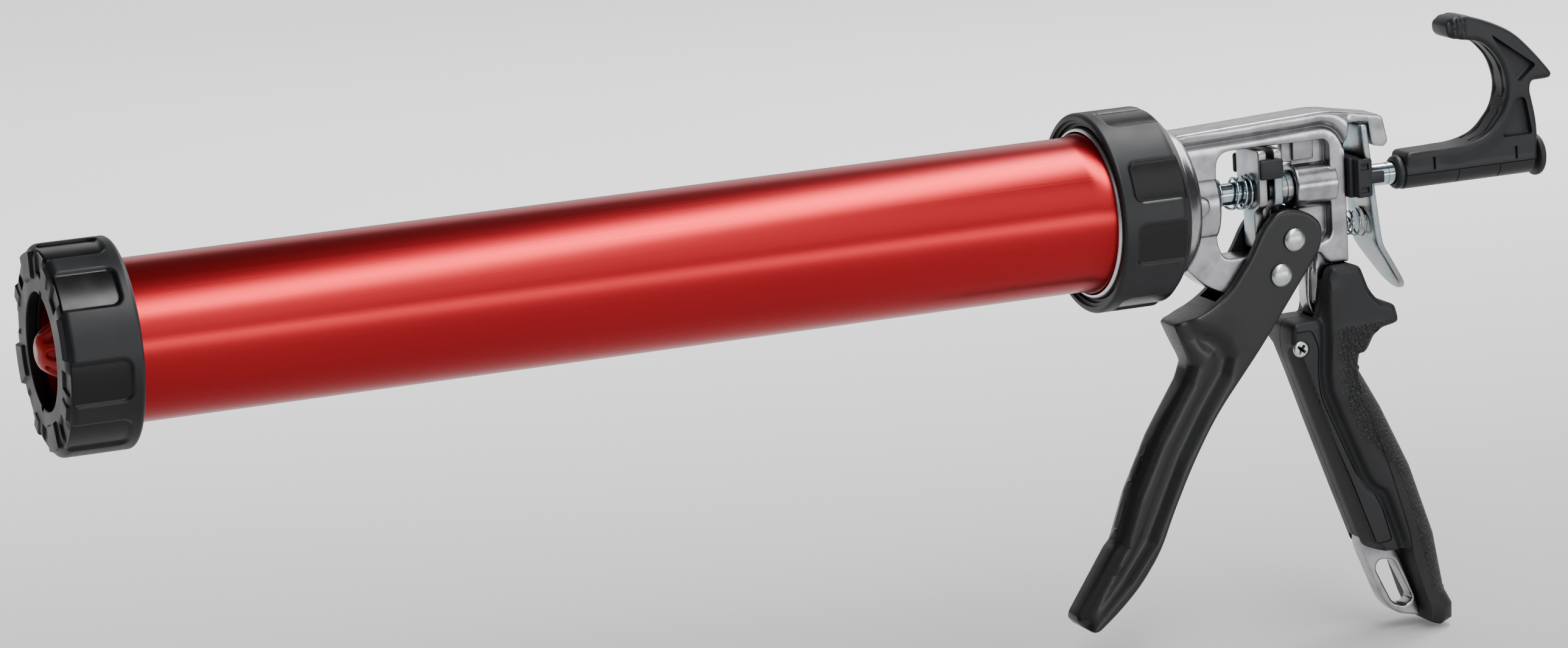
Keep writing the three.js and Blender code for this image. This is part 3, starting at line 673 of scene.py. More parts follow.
def barrel_tube():
    corners = [
        (5.5, BARREL_BORE_R, 0.3),
        (5.5, BARREL_R, 0.4),
        (364.5, BARREL_R, 4),
        (367.5, BARREL_R + 0.4, 2),
        (371, 28.2, 3),
        (386, 28.2, 0.3),
        (386, 29.4, 0.3),
        (388.6, 29.4, 0.3),
        (388.6, BARREL_BORE_R, 0.3),
    ]
    dress(lathed("barrel", corners, 256, 400), "barrel_tube", ANODISED)


def front_cap():
    corners = [
        (0, 19.6, 0.5),
        (0, 31, 1),
        (0.8, 33.4, 1),
        (2.2, 35, 1.6),
        (24.3, 35, 0.8),
        (25.3, 34.2, 0.6),
        (25.3, 27.4, 0.4),
        (3.6, 27.4, 0.4),
        (3.6, 19.6, 0.4),
    ]
    dress(turned("cap", rounded(corners, 0.45, 4), 480, cap_relief), "front_cap", PLASTIC, 50)


def rear_collar():
    corners = [
        (370, 32.6, 0.2),
        (370, 34.2, 0.4),
        (370.8, 35, 0.6),
        (393, 35, 1.5),
        (396.2, 32, 1),
        (397.3, 30.4, 0.4),
        (397.3, 29.9, 0.2),
        (385.7, 29.9, 0.2),
        (385.7, 28.9, 0.2),
        (377, 28.9, 0.2),
        (377, 30.2, 0.2),
        (372.4, 30.2, 0.2),
        (372.4, 31.4, 0.2),
        (371, 31.4, 0.2),
        (371, 32.6, 0.2),
    ]
    dress(turned("collar", rounded(corners, 0.45, 4), 480, collar_relief), "rear_collar", PLASTIC, 50)


def ring_pieces():
    washer = [(3.9, 20.2, 0.2), (3.9, 26.9, 0.2), (5.2, 26.9, 0.2), (5.2, 20.2, 0.2)]
    dress(lathed("washer", washer), "nozzle_washer", BLACK_RUBBER)
    slip = [(370.2, 28.5, 0.3), (370.2, 29.2, 0.8), (371, 29.9, 0.6), (376.7, 29.9, 0.3), (376.7, 28.7, 0.2)]
    # The slip ring, plated like the washer, wears the brighter metal as a painted highlight.
    dress(lathed("slip", slip, 192), "slip_ring", ("zinc_plate", PAINTED_BRIGHT_STEEL[1]))
    thrust = [(388.9, 24.6, 0.2), (388.9, 29.4, 0.2), (389.9, 29.4, 0.2), (389.9, 24.6, 0.2)]
    dress(lathed("thrust", thrust), "thrust_washer", PLASTIC)


# ---- Plunger and rod ----
DIMPLE_ROWS = [(2.6, 8), (7.4, 9), (12.6, 10), (18, 12), (24, 14)]


def dimpled(x, r, degrees):
    """Staggered rows of oval dimples on the plunger's nose."""
    depth = np.zeros(len(x))
    for row, (middle, count) in enumerate(DIMPLE_ROWS):
        pitch = 360 / count
        turn = (degrees + (row % 2) * pitch / 2 + pitch / 2) % pitch - pitch / 2
        across = math.radians(turn) * r / 1.7
        along = (x - middle) / 2.3
        depth = np.maximum(depth, 1.6 * smooth(1 - np.hypot(across, along), 0.4))
    outer = (x > -1) & (x < 29.5) & (r > 4.6)
    return x, r - depth * outer, np.full(len(x), 0.6)


def plunger():
    nose = [
        (-2, 0),
        (-2, 3, 0.8),
        (-1, 5.4, 1),
        (1.2, 7.4, 1.5),
        (8, 11.6, 4),
        (29, 20.5, 4),
        (36, 24, 2),
        (38, 24.6, 0.5),
        (38, ROD_HOLE_R),
        (29.7, ROD_HOLE_R),
        (29.7, 0),
    ]
    dress(turned("nose", rounded(nose, 0.5, 4), 240, dimpled), "plunger_nose", RED_PLASTIC, 40)
    seal = [(38.3, ROD_HOLE_R), (38.3, 24.4, 0.5), (40, 25.2, 1), (43.5, 25.2, 1), (45, 24, 0.6), (45, ROD_HOLE_R)]
    dress(lathed("seal", seal), "piston_seal", BLACK_RUBBER)
    washer = [(45.3, ROD_HOLE_R, 0.2), (45.3, 21, 0.3), (46.9, 21, 0.5), (46.9, ROD_HOLE_R, 0.2)]
    dress(lathed("washer", washer), "piston_washer", ZINC)
    hexagon = circle(0, 0, 7.4, 6)
    nut = plate_across("nut", [rounded(hexagon.tolist(), 2), circle(0, 0, ROD_HOLE_R)], 5.4, 49.9, 0.5)
    dress(nut, "piston_nut", ZINC)


def push_rod():
    profile = [(30, 0), (30, 3.4, 0.2), (30.8, ROD_R, 0.4), (487.5, ROD_R), (487.5, 3.85), (488, 3.85), (488, ROD_R)]
    profile += [(546, ROD_R), (546, 0)]
    dress(lathed("rod", profile, 64, 600), "push_rod", ROD_PLATE)


# ---- Pull hook ----
HOOK = [
    (493.5, -5, 2.5),
    (493.5, 7.4, 2.5),
    (517, 7.7, 6),
    (526, 10.3, 6),
    (533.5, 18.5, 8),
    (535.3, 27, 8),
    (532.6, 36.5, 8),
    (525.5, 44, 7),
    (517, 45.4, 3),
    (511.8, 46.6, 3),
    (511.2, 52.4, 4),
    (517.5, 54.4, 4),
    (527, 51.6, 10),
    (538, 46.4, 12),
    (546.5, 38, 12),
    (555, 27.8, 4.5),
    (545, 27.6, 2.5),
    (544.3, 24.5, 3),
    (547, 12, 12),
    (546.6, -5, 2.5),
]
HOOK_THROAT = [(513, 7.7), (520, 8.4), (526.4, 11.6), (531.6, 17.6), (534.4, 25), (533.4, 33), (529.4, 40), (523, 44.2), (514, 45.8)]
HOOK_POCKETS = [
    [(528.6, 46.4, 1.5), (546.8, 33.4, 1.5), (539.6, 27.6, 1.5)],
    [(537.6, 22.4, 2), (542, 22.4, 2), (544.6, 8.6, 1.5), (532.2, 8.6, 1.5)],
]


def hook_half(x, z):
    """The arm is a little thicker along the throat, and has three soft knuckles at its tip."""
    throat = distance(np.stack([x, z], 1), np.array(HOOK_THROAT), False)
    knuckles = 0.45 * np.cos((x - 511) * 2 * math.pi / 3.4) * smooth(519 - x, 2.5) * smooth(z - 44, 2)
    return HOOK_HALF - 0.9 - 0.5 * smooth(throat - 5, 3) + knuckles


def sleeve():
    profile = [(SLEEVE[0], ROD_HOLE_R), (SLEEVE[0], SLEEVE_R, 0.8), (514.4, SLEEVE_R), (514.4, SLEEVE_R - 0.25)]
    profile += [(514.8, SLEEVE_R - 0.25), (514.8, SLEEVE_R), (531, SLEEVE_R), (531, SLEEVE_R - 0.25)]
    profile += [(531.4, SLEEVE_R - 0.25), (531.4, SLEEVE_R), (SLEEVE[1], SLEEVE_R, 0.4), (SLEEVE[1], ROD_HOLE_R)]
    return lathed("sleeve", profile, 96, 60)


def pull_hook():
    arm = pillow("arm", [rounded(HOOK, 0.7)], hook_half, 1.7, 0.9, 6)
    combined(arm, [lathed("shank", [(493.5, 0), (493.5, SLEEVE_R, 0.8), (545.3, SLEEVE_R, 0.4), (545.3, 0)])], "UNION")
    tools = [block("below", (480, 560), (-20, 20), (-30, -0.5), 0.01)]
    tools.append(lathed("bore", [(480, 0), (480, ROD_HOLE_R), (560, ROD_HOLE_R), (560, 0)]))
    for corners in HOOK_POCKETS:
        for side in (-1, 1):
            floor = pillow("pocket", [rounded(corners, 0.7)], 6, 1.2, 20, 5)
            tools.append(moved(floor, Matrix.Translation((0, side * 9.2, 0))))
    for x in (504, 537):
        for side in (-1, 1):
            tools.append(block("slot", (x, x + 1.2), sorted((4.9 * side, 9 * side)), (0.4, 5), 0.3))
    throat = np.array(HOOK_THROAT)
    gutter = np.concatenate([inset(throat, 1.2)[1:-1], inset(throat, -1.0)[1:-1][::-1]])
    for side in (-1, 1):
        band = pillow("gutter", [anticlockwise(gutter)], 1.25, 0.5, 20, 3)
        tools.append(moved(band, Matrix.Translation((0, side * 3.1, 0))))
    dress(combined(arm, tools), "pull_hook", PLASTIC, 38)
    cover = combined(sleeve(), [block("above", (480, 560), (-20, 20), (-0.75, 30), 0.01)])
    dress(cover, "hook_cover", PLASTIC)
    ring = [(490.6, ROD_HOLE_R), (490.6, 5, 0.3), (491.6, 6, 0.6), (493.2, 6, 0.3), (493.2, ROD_HOLE_R)]
    dress(lathed("ring", ring), "hook_ring", PLASTIC)
    disc = [(546.9, 0), (546.9, 7, 0.3), (547.4, 7.6, 0.5), (548.8, 7.6, 0.6), (549.6, 6.8, 0.6), (549.6, 0)]
    dress(lathed("disc", disc), "rod_end_disc", PLASTIC)


# ---- Cast frame ----
FRAME = [
    (398.5, 20, 0),
    (404, 24.2, 0.5),
    (462, 26.5, 5),
    (476, 24, 2),
    (484.6, 22.4, 2),
    (486.8, 12.6, 1.5),
    (484.8, 10.8, 1),
    (480, 12, 1.5),
    (478.8, 20.7, 1),
    (471.2, 20.7, 1.5),
    (469.6, 12, 3),
    (469.6, -28.4, 0),
    (462, -28.4, 0),
    (458.5, -23.5, 3),
    (453.5, -25, 3),
    (448.5, -34.5, 4),
    (436.5, -38.4, 5),
    (421, -34.6, 1),
    (412.5, -29.8, 3),
    (403.6, -21, 1),
    (398.5, -18, 0),
]
WINDOW = [
    (419.3, 16.4, 6),
    (463.3, 16.4, 3),
    (463.3, -19.5, 4),
    (455, -21.8, 3),
    (421, -21.8, 4),
    (418.6, -16, 2),
]
BEAM_GROOVE = [
    (396, 19.2),
    (433, 20.1),
    (457, 21.2),
    (460, 21.3),
    (462.6, 20.9),
    (464.9, 19.8),
    (466.8, 18.2),
    (468.2, 16.3),
    (470.4, 12),
]
TANG = [
    (455.4, -22, 0),
    (454, -31.4, 3),
    (453.7, -42, 4),
    (456.6, -49, 4),
    (459.6, -66, 10),
    (465.5, -95, 10),
    (470.8, -128, 3),
    (471.6, -134.6, 2),
    (479.8, -155, 6),
    (485, -160.2, 5),
    (494.2, -162.3, 1.5),
    (494.6, -160.4, 1),
    (487.4, -139.6, 3),
    (482.8, -130, 4),
    (474.5, -104, 8),
    (465.8, -80, 10),
    (462.6, -64, 8),
    (466.4, -50, 5),
    (467, -24, 0),
]
LOOP = [
    (478.6, -139.4, 2.5),
    (484.4, -139.8, 2.5),
    (491.8, -155.4, 2.5),
    (488.8, -157.8, 2),
    (483.6, -156.2, 2.5),
    (477, -142.4, 2.5),
]
TONGUE = [
    (398, 5.6, 0),
    (407.4, 5.2, 1.5),
    (409.4, 3, 1.5),
    (413.8, 1.4, 1.6),
    (414.4, -2.6, 1.6),
    (411.2, -5.2, 1.6),
    (408.6, -6.8, 1.5),
    (406.4, -10, 1),
    (398, -10, 0),
]


def plate_half(x, z):
    """A flat band round the window, a groove along the beam, and above it a rounded ridge and a sloping face."""
    above = side_of(BEAM_GROOVE, x, z, 500)
    beam = smooth(x - 403, 1.5) * smooth(471.5 - x, 1)
    groove = 1.5 * np.exp(-((above / 0.85) ** 2))
    ridge = 0.8 * smooth(above - 1.6, 0.8)
    slope = 0.3 * np.maximum(above - 4.2, 0)
    return FRAME_HALF + beam * (ridge - groove - slope)


def tang_half(x, z):
    """A rim along the front edge with a channel behind it."""
    front = distance(np.stack([x, z], 1), np.array(TANG[:5])[:, :2], False)
    return TANG_HALF - 1.3 * np.exp(-(((front - 2.4) / 0.8) ** 2))


def frame_casting():
    seam = [(BEAM_GROOVE, (-2, -1.3, -0.8, -0.4, 0, 0.4, 0.8, 1.3, 2, 2.8))]
    plate = pillow("plate", [rounded(FRAME), rounded(WINDOW)], plate_half, 0.7, 1, 5, seam)
    disc = [
        (390.2, 0),
        (390.2, 29.4, 0.3),
        (397.7, 29.4, 0.6),
        (398.3, 28.2, 0.6),
        (402, 26.6, 1.5),
        (404.6, 24.2, 1),
        (404.6, 0),
    ]
    boss = [(402, 0), (402, 9.3), (418.4, 9.3, 0.4), (419.5, 8.4, 0.4), (419.5, 0)]
    seat = [(449.6, 0), (449.6, 7.6, 0.3), (450.2, 8.2, 0.5), (465.3, 8.2), (465.3, 0)]
    stud = [(467.6, 0), (467.6, 2.2), (473.2, 2.2, 0.6), (473.2, 0)]
    parts = [
        lathed("disc", disc, 192),
        moved(lathed("boss", boss), Matrix.Translation((0, 0, BOSS_DROP)) @ Matrix.Diagonal((1, 1, BOSS_TALL, 1))),
        lathed("seat", seat),
        moved(lathed("stud", stud, 32), Matrix.Translation((0, 0, -16))),
        pillow("tang", [rounded(TANG), rounded(LOOP)], tang_half, 0.8, 0.8, 4),
        pillow("tongue", [rounded(TONGUE, 1)], 11, 1.2, 5),
        block("web", (446.6, 464), (-1.8, 1.8), (9, 18), 0.4),
        block("web_boss", (450.3, 464), (-1.8, 1.8), (-5, 10), 0.4),
        block("web_low", (452.2, 464), (-1.8, 1.8), (-21, -4), 0.4),
        block("web_pad", (450.3, 458.4), (-3.4, 3.4), (9.6, 18), 0.5),
    ]
    combined(plate, parts, "UNION")
    cuts = [lathed("bore", [(380, 0), (380, 4.5), (490, 4.5), (490, 0)]), pin("pivot", *PIVOT, 3.3, -20, 20)]
    dress(combined(plate, cuts), "frame_casting", CASTING, 30)


# ---- Grip ----
GRIP = [
    (444.6, -47.4, 3),
    (455.6, -47.2, 1),
    (457.6, -36, 3),
    (459.6, -28.8, 3),
    (471, -28.8, 3),
    (474.8, -39, 4),
    (479, -43.6, 2),
    (484.4, -44.6, 3),
    (486.2, -51.6, 3),
    (477, -53.2, 7),
    (472.8, -60.6, 2),
    (467.5, -60.8, 2),
    (467.2, -66, 4),
    (470.4, -80, 10),
    (479.4, -104, 10),
    (486.6, -130, 6),
    (487.2, -135, 3),
    (475, -134.4, 2),
    (471.4, -132.4, 2),
    (463.6, -111.5, 60),
    (453.8, -84.5, 60),
    (447.8, -67.5, 40),
    (444, -57.5, 12),
]
BACKSTRAP = [
    (468, -61, 0.5),
    (472.4, -60.8, 0.5),
    (471.2, -67, 40),
    (479.6, -82, 90),
    (490.4, -105, 90),
    (499, -131, 90),
    (502.6, -152, 6),
    (505.8, -158, 5),
    (505.6, -164, 5),
    (500.6, -166.2, 4),
    (496.4, -164.4, 2.5),
    (487.9, -138.6, 3),
    (487.2, -130, 6),
    (479.9, -104, 10),
    (470.9, -80, 10),
    (467.7, -66, 4),
]
VALLEY = [
    (458.4, -20),
    (458.8, -47),
    (459, -55),
    (458.5, -62),
    (458.3, -67),
    (459, -73),
    (464.2, -86),
    (471.7, -104),
    (473.6, -107.4),
    (475.6, -109.4),
    (478.4, -111.2),
    (479.8, -113),
    (481, -116),
    (486.8, -133),
    (488.8, -150),
]
INSET_PANEL = [
    (442.6, -50.6, 1.5),
    (451.4, -50.4, 1.5),
    (454.2, -57, 3),
    (453.4, -66, 4),
    (454.2, -75, 6),
    (459.8, -88, 8),
    (467.6, -106, 4),
    (473.8, -112.6, 3),
    (476.8, -118, 3),
    (480.4, -130.8, 1.5),
    (474.2, -131.2, 1.5),
    (464.8, -106, 10),
    (453.4, -79, 10),
    (447.6, -64, 6),
]
GRAIN_EDGE = [
    (461.8, -50),
    (463, -69.5),
    (465, -79.7),
    (470.6, -91.6),
    (476.4, -99.1),
    (481.1, -104.2),
    (484.5, -111.4),
    (488.3, -123.1),
    (489.8, -132.3),
    (492.5, -141.7),
    (494, -150),
]


def side_of(points, x, z, far):
    """Signed distance from a line of points that runs downwards: above 0 on its rear side."""
    samples = np.stack([x, z], 1)
    line = np.array(points, float)
    region = np.concatenate([line, [(far, line[-1][1] - 40), (far, line[0][1] + 100), (line[0][0], line[0][1] + 100)]])
    gap = distance(samples, line, False)
    return np.where(inside(samples, region), gap, -gap)


def grip_half(x, z):
    """A chamfered edge, the flat side behind it, then a step up to the raised saddle behind the valley."""
    behind = side_of(VALLEY, x, z, 560)
    gully = 1.5 * np.exp(-(((behind + 2.2) / 1.5) ** 2))
    side = SIDE_HALF - gully + (GRIP_HALF - SIDE_HALF) * smooth(behind + 0.5, 1.0)
    samples = np.stack([x, z], 1)
    edge = distance(samples, np.array(GRIP[17:] + GRIP[:11])[:, :2], False)
    front = distance(samples, np.array(GRIP[17:])[:, :2], False)
    return side - 1.2 * np.clip(1 - edge / 1.7, 0, 1) - 5.2 * np.clip(1 - front / 2.6, 0, 1)


def strap_half(x, z):
    """Rounded towards the rear, and level with the shells in front."""
    rear = distance(np.stack([x, z], 1), np.array(BACKSTRAP[1:11])[:, :2], False)
    bend = np.minimum(rear, STRAP_BEND)
    drop = 0.8 * (STRAP_BEND - np.sqrt(STRAP_BEND**2 - (STRAP_BEND - bend) ** 2))
    return GRIP_HALF + 0.4 * smooth(rear - 7, 4) - drop


def grained(obj):
    """Marks where the leather-like grain lies."""
    spots = np.array([vertex.co for vertex in obj.data.vertices])
    behind = side_of(GRAIN_EDGE, spots[:, 0], spots[:, 2], 560)
    mark(obj, "grain", smooth(behind - 0.8, 1) * smooth(-50.6 - spots[:, 2], 1) * smooth(spots[:, 2] + 152, 3))


def grip_shells():
    behind = [(u + 1, v, *rest) if 10 < k < 17 else (u, v, *rest) for k, (u, v, *rest) in enumerate(GRIP)]
    seam = [(VALLEY, (-4.4, -3.6, -2.9, -2.2, -1.5, -0.9, -0.4, 0.1, 0.7))]
    whole = pillow("grip", [rounded(behind, 0.7)], grip_half, 0.5, 0.8, 3, seam)
    tools = []
    for side in (-1, 1):
        line = rounded(INSET_PANEL, 0.8)
        rim = pillow("line", [inset(line, -0.25), inset(line, 0.25)], 3, 0.02, 30, 1)
        tools.append(moved(rim, Matrix.Translation((0, side * (SIDE_HALF + 3 - 0.7), 0))))
    tools.append(pin("screw_seat", *SCREW, 3.3, -20, 1.7 - GRIP_HALF))
    tools.append(pin("hole", 453.2, -76.5, 0.8, -20, -9.8, 24))
    for dx, dz in ((1, 0), (-1, 0), (0, 1), (0, -1)):
        room = pillow("room", [rounded(TANG, 2)], TANG_HALF + 0.6, 0.1, 20, 1)
        tools.append(moved(room, Matrix.Translation((dx * 0.6, 0, dz * 0.6))))
    tools.append(block("upright", (457, 470.6), (-FRAME_HALF - 0.3, FRAME_HALF + 0.3), (-34, -20), 0.1))
    combined(whole, tools)
    grained(whole)
    right = twin(whole, "grip_right")
    combined(whole, [block("half", (430, 520), (-0.15, 30), (-180, 0), 0.01)])
    combined(right, [block("half", (430, 520), (-30, 0.15), (-180, 0), 0.01)])
    dress(whole, "grip_shell_left", GRIP_PLASTIC, 34)
    dress(right, "grip_shell_right", GRIP_PLASTIC, 34)


def grip_backstrap():
    strap = pillow("strap", [rounded(BACKSTRAP, 0.7)], strap_half, 0.3, 0.7, 3)
    grained(strap)
    dress(strap, "grip_backstrap", GRIP_RUBBER, 40)


def grip_screw():
    head = [(0.9, 0), (0.9, 2.3, 0.2), (1.3, 2.9, 0.4), (2, 2.9, 0.1), (2, 0)]
    screw = lathed("screw", head, 64)
    shank = lathed("shank", [(1.8, 0), (1.8, 1.5), (19, 1.5, 0.3), (19, 0)], 32)
    combined(screw, [shank], "UNION")
    cross = []
    for wide, tall in ((1.9, 0.55), (0.55, 1.9)):
        cross.append(block("bar", (-0.5, 1.7), (-wide, wide), (-tall, tall), 0.1))
    combined(screw, cross)
    turn = Matrix.Rotation(math.radians(38), 4, "X")
    seat = Matrix.Translation((SCREW[0], -GRIP_HALF, SCREW[1])) @ Matrix.Rotation(math.pi / 2, 4, "Z")
    dress(moved(screw, seat @ turn), "grip_screw", ("plated_rod", RIVET_STEEL[1]))


# ---- Trigger ----
TRIGGER = [
    (440.6, -6.8, 4),
    (446, -6.4, 3),
    (453.2, -8.4, 4),
    (458, -13, 4),
    (457.6, -21, 4),
    (432.4, -54.6, 6),
    (414, -76.5, 20),
    (404, -93, 20),
    (395.6, -110, 15),
    (390.5, -122, 10),
    (382, -133.6, 15),
    (373, -142, 10),
    (364, -148.8, 3),
    (358, -143.8, 3),
    (373.7, -120.4, 0.6),
    (375.7, -118, 2),
    (381.5, -101.5, 20),
    (391.3, -82, 20),
    (403.6, -64.2, 8),
    (406.4, -57.6, 7),
    (403, -49.6, 8),
    (400.2, -42.6, 1.5),
    (411.3, -39.6, 6),
    (420.6, -33.6, 10),
    (429.6, -22, 10),
    (434.6, -12.6, 8),
]
TRIGGER_FRONT = [
    (400.8, -42.2),
    (403.2, -49.8),
    (405.6, -57.6),
    (403.4, -63.6),
    (391.5, -82),
    (381.7, -101.5),
    (375.7, -118),
    (373.9, -120.6),
    (358.4, -144),
    (362, -148.4),
]
FLANGE_EDGE = [
    (404, -36),
    (409, -43.4),
    (415.4, -45.6),
    (420.4, -49.6),
    (422.8, -56),
    (420.6, -63.6),
    (411.6, -76.6),
    (402.2, -92),
    (394.6, -108),
    (389, -119.6),
    (378.6, -132.6),
    (363.6, -146.6),
    (358, -152),
]
CLEVIS_ROOM = [
    (399, -10),
    (409, -28, 0),
    (417.6, -37.4, 1.5),
    (421.6, -46, 4),
    (426, -56, 4),
    (430, -64, 2),
    (480, -30),
    (480, 10),
    (399, 10),
]
CHANNEL_ROOM = [
    (422, -55),
    (418.6, -60, 4),
    (409.4, -74.5, 10),
    (399.4, -92, 10),
    (390.8, -112, 8),
    (386, -123, 4),
    (382.5, -131),
    (440, -131),
    (440, -60),
]


def trigger_half(x, z):
    """Flat cheeks and a flat rear flange, with a rounded finger piece in front and a scoop between them."""
    behind = side_of(FLANGE_EDGE, x, z, 500)
    front = distance(np.stack([x, z], 1), np.array(TRIGGER_FRONT), False)
    lower = smooth(-118 - z, 2.5)
    bend = np.minimum(front / FINGER_BEND, 1)
    deep = 2 + 4.2 * smooth(-54 - z, 5)
    rounding = deep * (1 - np.sqrt(np.maximum(1 - (1 - bend) ** 2, 0)))
    facet = 3.4 * (1 - np.clip(front / 4.2, 0, 1))
    scoop = 1.5 * np.exp(-(((behind + 4.8) / 3.4) ** 2)) * smooth(front - 5, 3)
    finger = FINGER_HALF - (1 - lower) * rounding - lower * facet - scoop
    return finger + (CHEEK_HALF - finger) * smooth(behind + 1.2, 2.8 - 1.2 * lower)


def trigger():
    seam = [(FLANGE_EDGE, (-7.5, -6.5, -5.5, -4.5, -3.6, -2.8, -2.2, -1.6, -1, -0.4, 0.2, 0.8, 1.4))]
    body = pillow("trigger", [rounded(TRIGGER, 0.7)], trigger_half, 1.2, 0.8, 5, seam)
    room = pillow("clevis", [rounded(CLEVIS_ROOM)], CLEVIS_HALF, 0.02, 30, 1)
    channel = pillow("channel", [rounded(CHANNEL_ROOM)], 4.2, 0.6, 30, 3)
    cuts = [room, channel, pin("pivot", *PIVOT, 3.3, -20, 20), pin("drive", *DRIVE_PIN, 3.3, -20, 20)]
    dress(combined(body, cuts), "trigger", PAINT, 40)


def rivet(node, x, z):
    seat = CHEEK_HALF + 0.2
    profile = [(0, 0), (0, 3), (seat, 3), (seat, 4.15, 0.1), (seat + 0.5, 4.15, 0.4), (seat + 1.4, 3.3, 1.2)]
    profile += [(seat + 2.05, 1.7, 1.2), (seat + 2.2, 0)]
    left = moved(lathed("left", profile, 64, 30), Matrix.Translation((x, 0, z)) @ Matrix.Rotation(-math.pi / 2, 4, "Z"))
    right = moved(lathed("right", profile, 64, 30), Matrix.Translation((x, 0, z)) @ Matrix.Rotation(math.pi / 2, 4, "Z"))
    dress(combined(left, [right], "UNION"), node, RIVET_STEEL)


# ---- Drive plates, clip and bush ----
PLATE = [
    (-9, 15.6, 2),
    (9, 15.6, 2),
    (9, -4.2, 2),
    (4.5, -6.5, 2),
    (4.5, -20, 2),
    (-4.5, -20, 2),
    (-4.5, -6.5, 2),
    (-9, -4.2, 2),
]


def drive_plates():
    for node, middle in (("drive_plate_front", 435.65), ("drive_plate_rear", 441.65)):
        loops = [rounded(PLATE, 2), circle(0, 0, ROD_R + 0.6)]
        dress(plate_across(node, loops, 3.3, middle, 0.55), node, ZINC)
    clip = block("clip", (433.6, 442.8), (-11.5, -9.3), (5.4, 12.4), 1)
    far = block("far", (433.6, 442.8), (9.3, 11.5), (5.4, 12.4), 1)
    spine = block("spine", (437.6, 439.7), (-10, 10), (5.6, 12.1), 0.3)
    dress(combined(clip, [far, spine], "UNION"), "plate_clip", PLASTIC)
    bush = [(444, ROD_HOLE_R), (444, 5.4, 0.4), (444.6, 5.9, 0.4), (446.3, 5.9), (446.5, 5.6), (446.8, 5.6)]
    bush += [(447, 5.9), (449.3, 5.9, 0.3), (449.3, ROD_HOLE_R)]
    dress(lathed("bush", bush), "rod_bush", ZINC)


# ---- Release lever and its guide ----
LEVER_TOP = (475.3, 20.2)
LEVER_BEND = (480.2, -25)
LEVER_TIP = (490.8, -40.4)
LEVER_FACE = [
    (-9.6, 20.2, 1),
    (9.6, 20.2, 1),
    (9.6, -27, 8),
    (6.6, -38.6, 6),
    (2, -41.6, 2),
    (-2, -41.6, 2),
    (-6.6, -38.6, 6),
    (-9.6, -27, 8),
]


def lever_lean(z):
    upper = LEVER_TOP[0] + (LEVER_TOP[1] - z) * (LEVER_BEND[0] - LEVER_TOP[0]) / (LEVER_TOP[1] - LEVER_BEND[1])
    kick = (LEVER_TIP[0] - LEVER_BEND[0]) / (LEVER_BEND[1] - LEVER_TIP[1])
    over = LEVER_BEND[1] + 1.5 - z
    return upper + kick * 0.8 * (over + math.sqrt(over * over + 4)) / 2


def release_pieces():
    outline = rounded(LEVER_FACE, 0.9)
    lever = plate_across("lever", [outline, circle(0, 0, 5)], 2.5, 0, 0.6, lever_lean)
    dress(lever, "release_lever", ZINC, 40)
    guide = block("guide", (469.9, 474), (-8, 8), (-5.6, 8.9), 0.7)
    parts = []
    for side in (-1, 1):
        parts.append(block("arm", (472, 481.6), sorted((10.2 * side, 12.2 * side)), (-0.6, 3.6), 0.4))
        parts.append(block("foot", (471.2, 473.8), sorted((7 * side, 12.2 * side)), (-5.2, 8.6), 0.5))
        parts.append(block("wall", (471.2, 477), sorted((10.2 * side, 12.2 * side)), (-5.2, 8.6), 0.9))
    combined(guide, parts, "UNION")
    cuts = [lathed("bore", [(460, 0), (460, ROD_HOLE_R), (500, ROD_HOLE_R), (500, 0)])]
    for side in (-1, 1):
        cuts.append(block("hollow", (472.2, 475.4), sorted((11.2 * side, 14 * side)), (-3.6, -1.4), 0.3))
        cuts.append(block("hollow", (472.2, 475.4), sorted((11.2 * side, 14 * side)), (4.6, 7), 0.3))
    dress(combined(guide, cuts), "release_guide", PLASTIC)


# ---- Springs ----
def coil(name, x0, x1, z, radii, wire, turns, pitch):
    """A spring along X. pitch gives the share of its length reached at each turn."""
    steps = 40 * turns
    points = []
    for i in range(steps + 1):
        t = i / steps
        angle = t * turns * 2 * math.pi
        lift = np.interp(t * turns, *pitch)
        r = radii[0] + (radii[1] - radii[0]) * t
        points.append((x0 + (x1 - x0) * lift, r * math.sin(angle), z + r * math.cos(angle)))
    return tube(name, points, wire)


def springs():
    main = coil("main", 420.45, 433.05, 0, (4.9, 6.1), 0.5, 4, ([0, 0.9, 1.5, 2.4, 3.3, 4], [0, 0.07, 0.5, 0.74, 0.94, 1]))
    dress(main, "main_spring", ROD_PLATE, 60)
    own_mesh(main)
    small = coil("small", 470.4, 477.4, -16, (3, 5.3), 0.4, 4, ([0, 0.7, 2, 3.3, 4], [0, 0.06, 0.4, 0.9, 1]))
    dress(small, "release_spring", ROD_PLATE, 60)
    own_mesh(small)


# ---- Stage ----
def area_light(name, aim, direction, reach, size, watts, colour=(1, 1, 1), roll=0.0):
    """A soft light reach metres from the point aim."""
    data = bpy.data.lights.new(name, "AREA")
    data.shape = "RECTANGLE"
    data.size, data.size_y = size
    data.energy = watts
    data.color = colour
    light = bpy.data.objects.new(name, data)
    light.visible_camera = False
    bpy.context.scene.collection.objects.link(light)
    way = Vector(direction).normalized()
    light.location = Vector(aim) + way * reach
    light.rotation_euler = ((-way).to_track_quat("-Z", "Y").to_matrix() @ Matrix.Rotation(roll, 3, "Z")).to_euler()
    return light


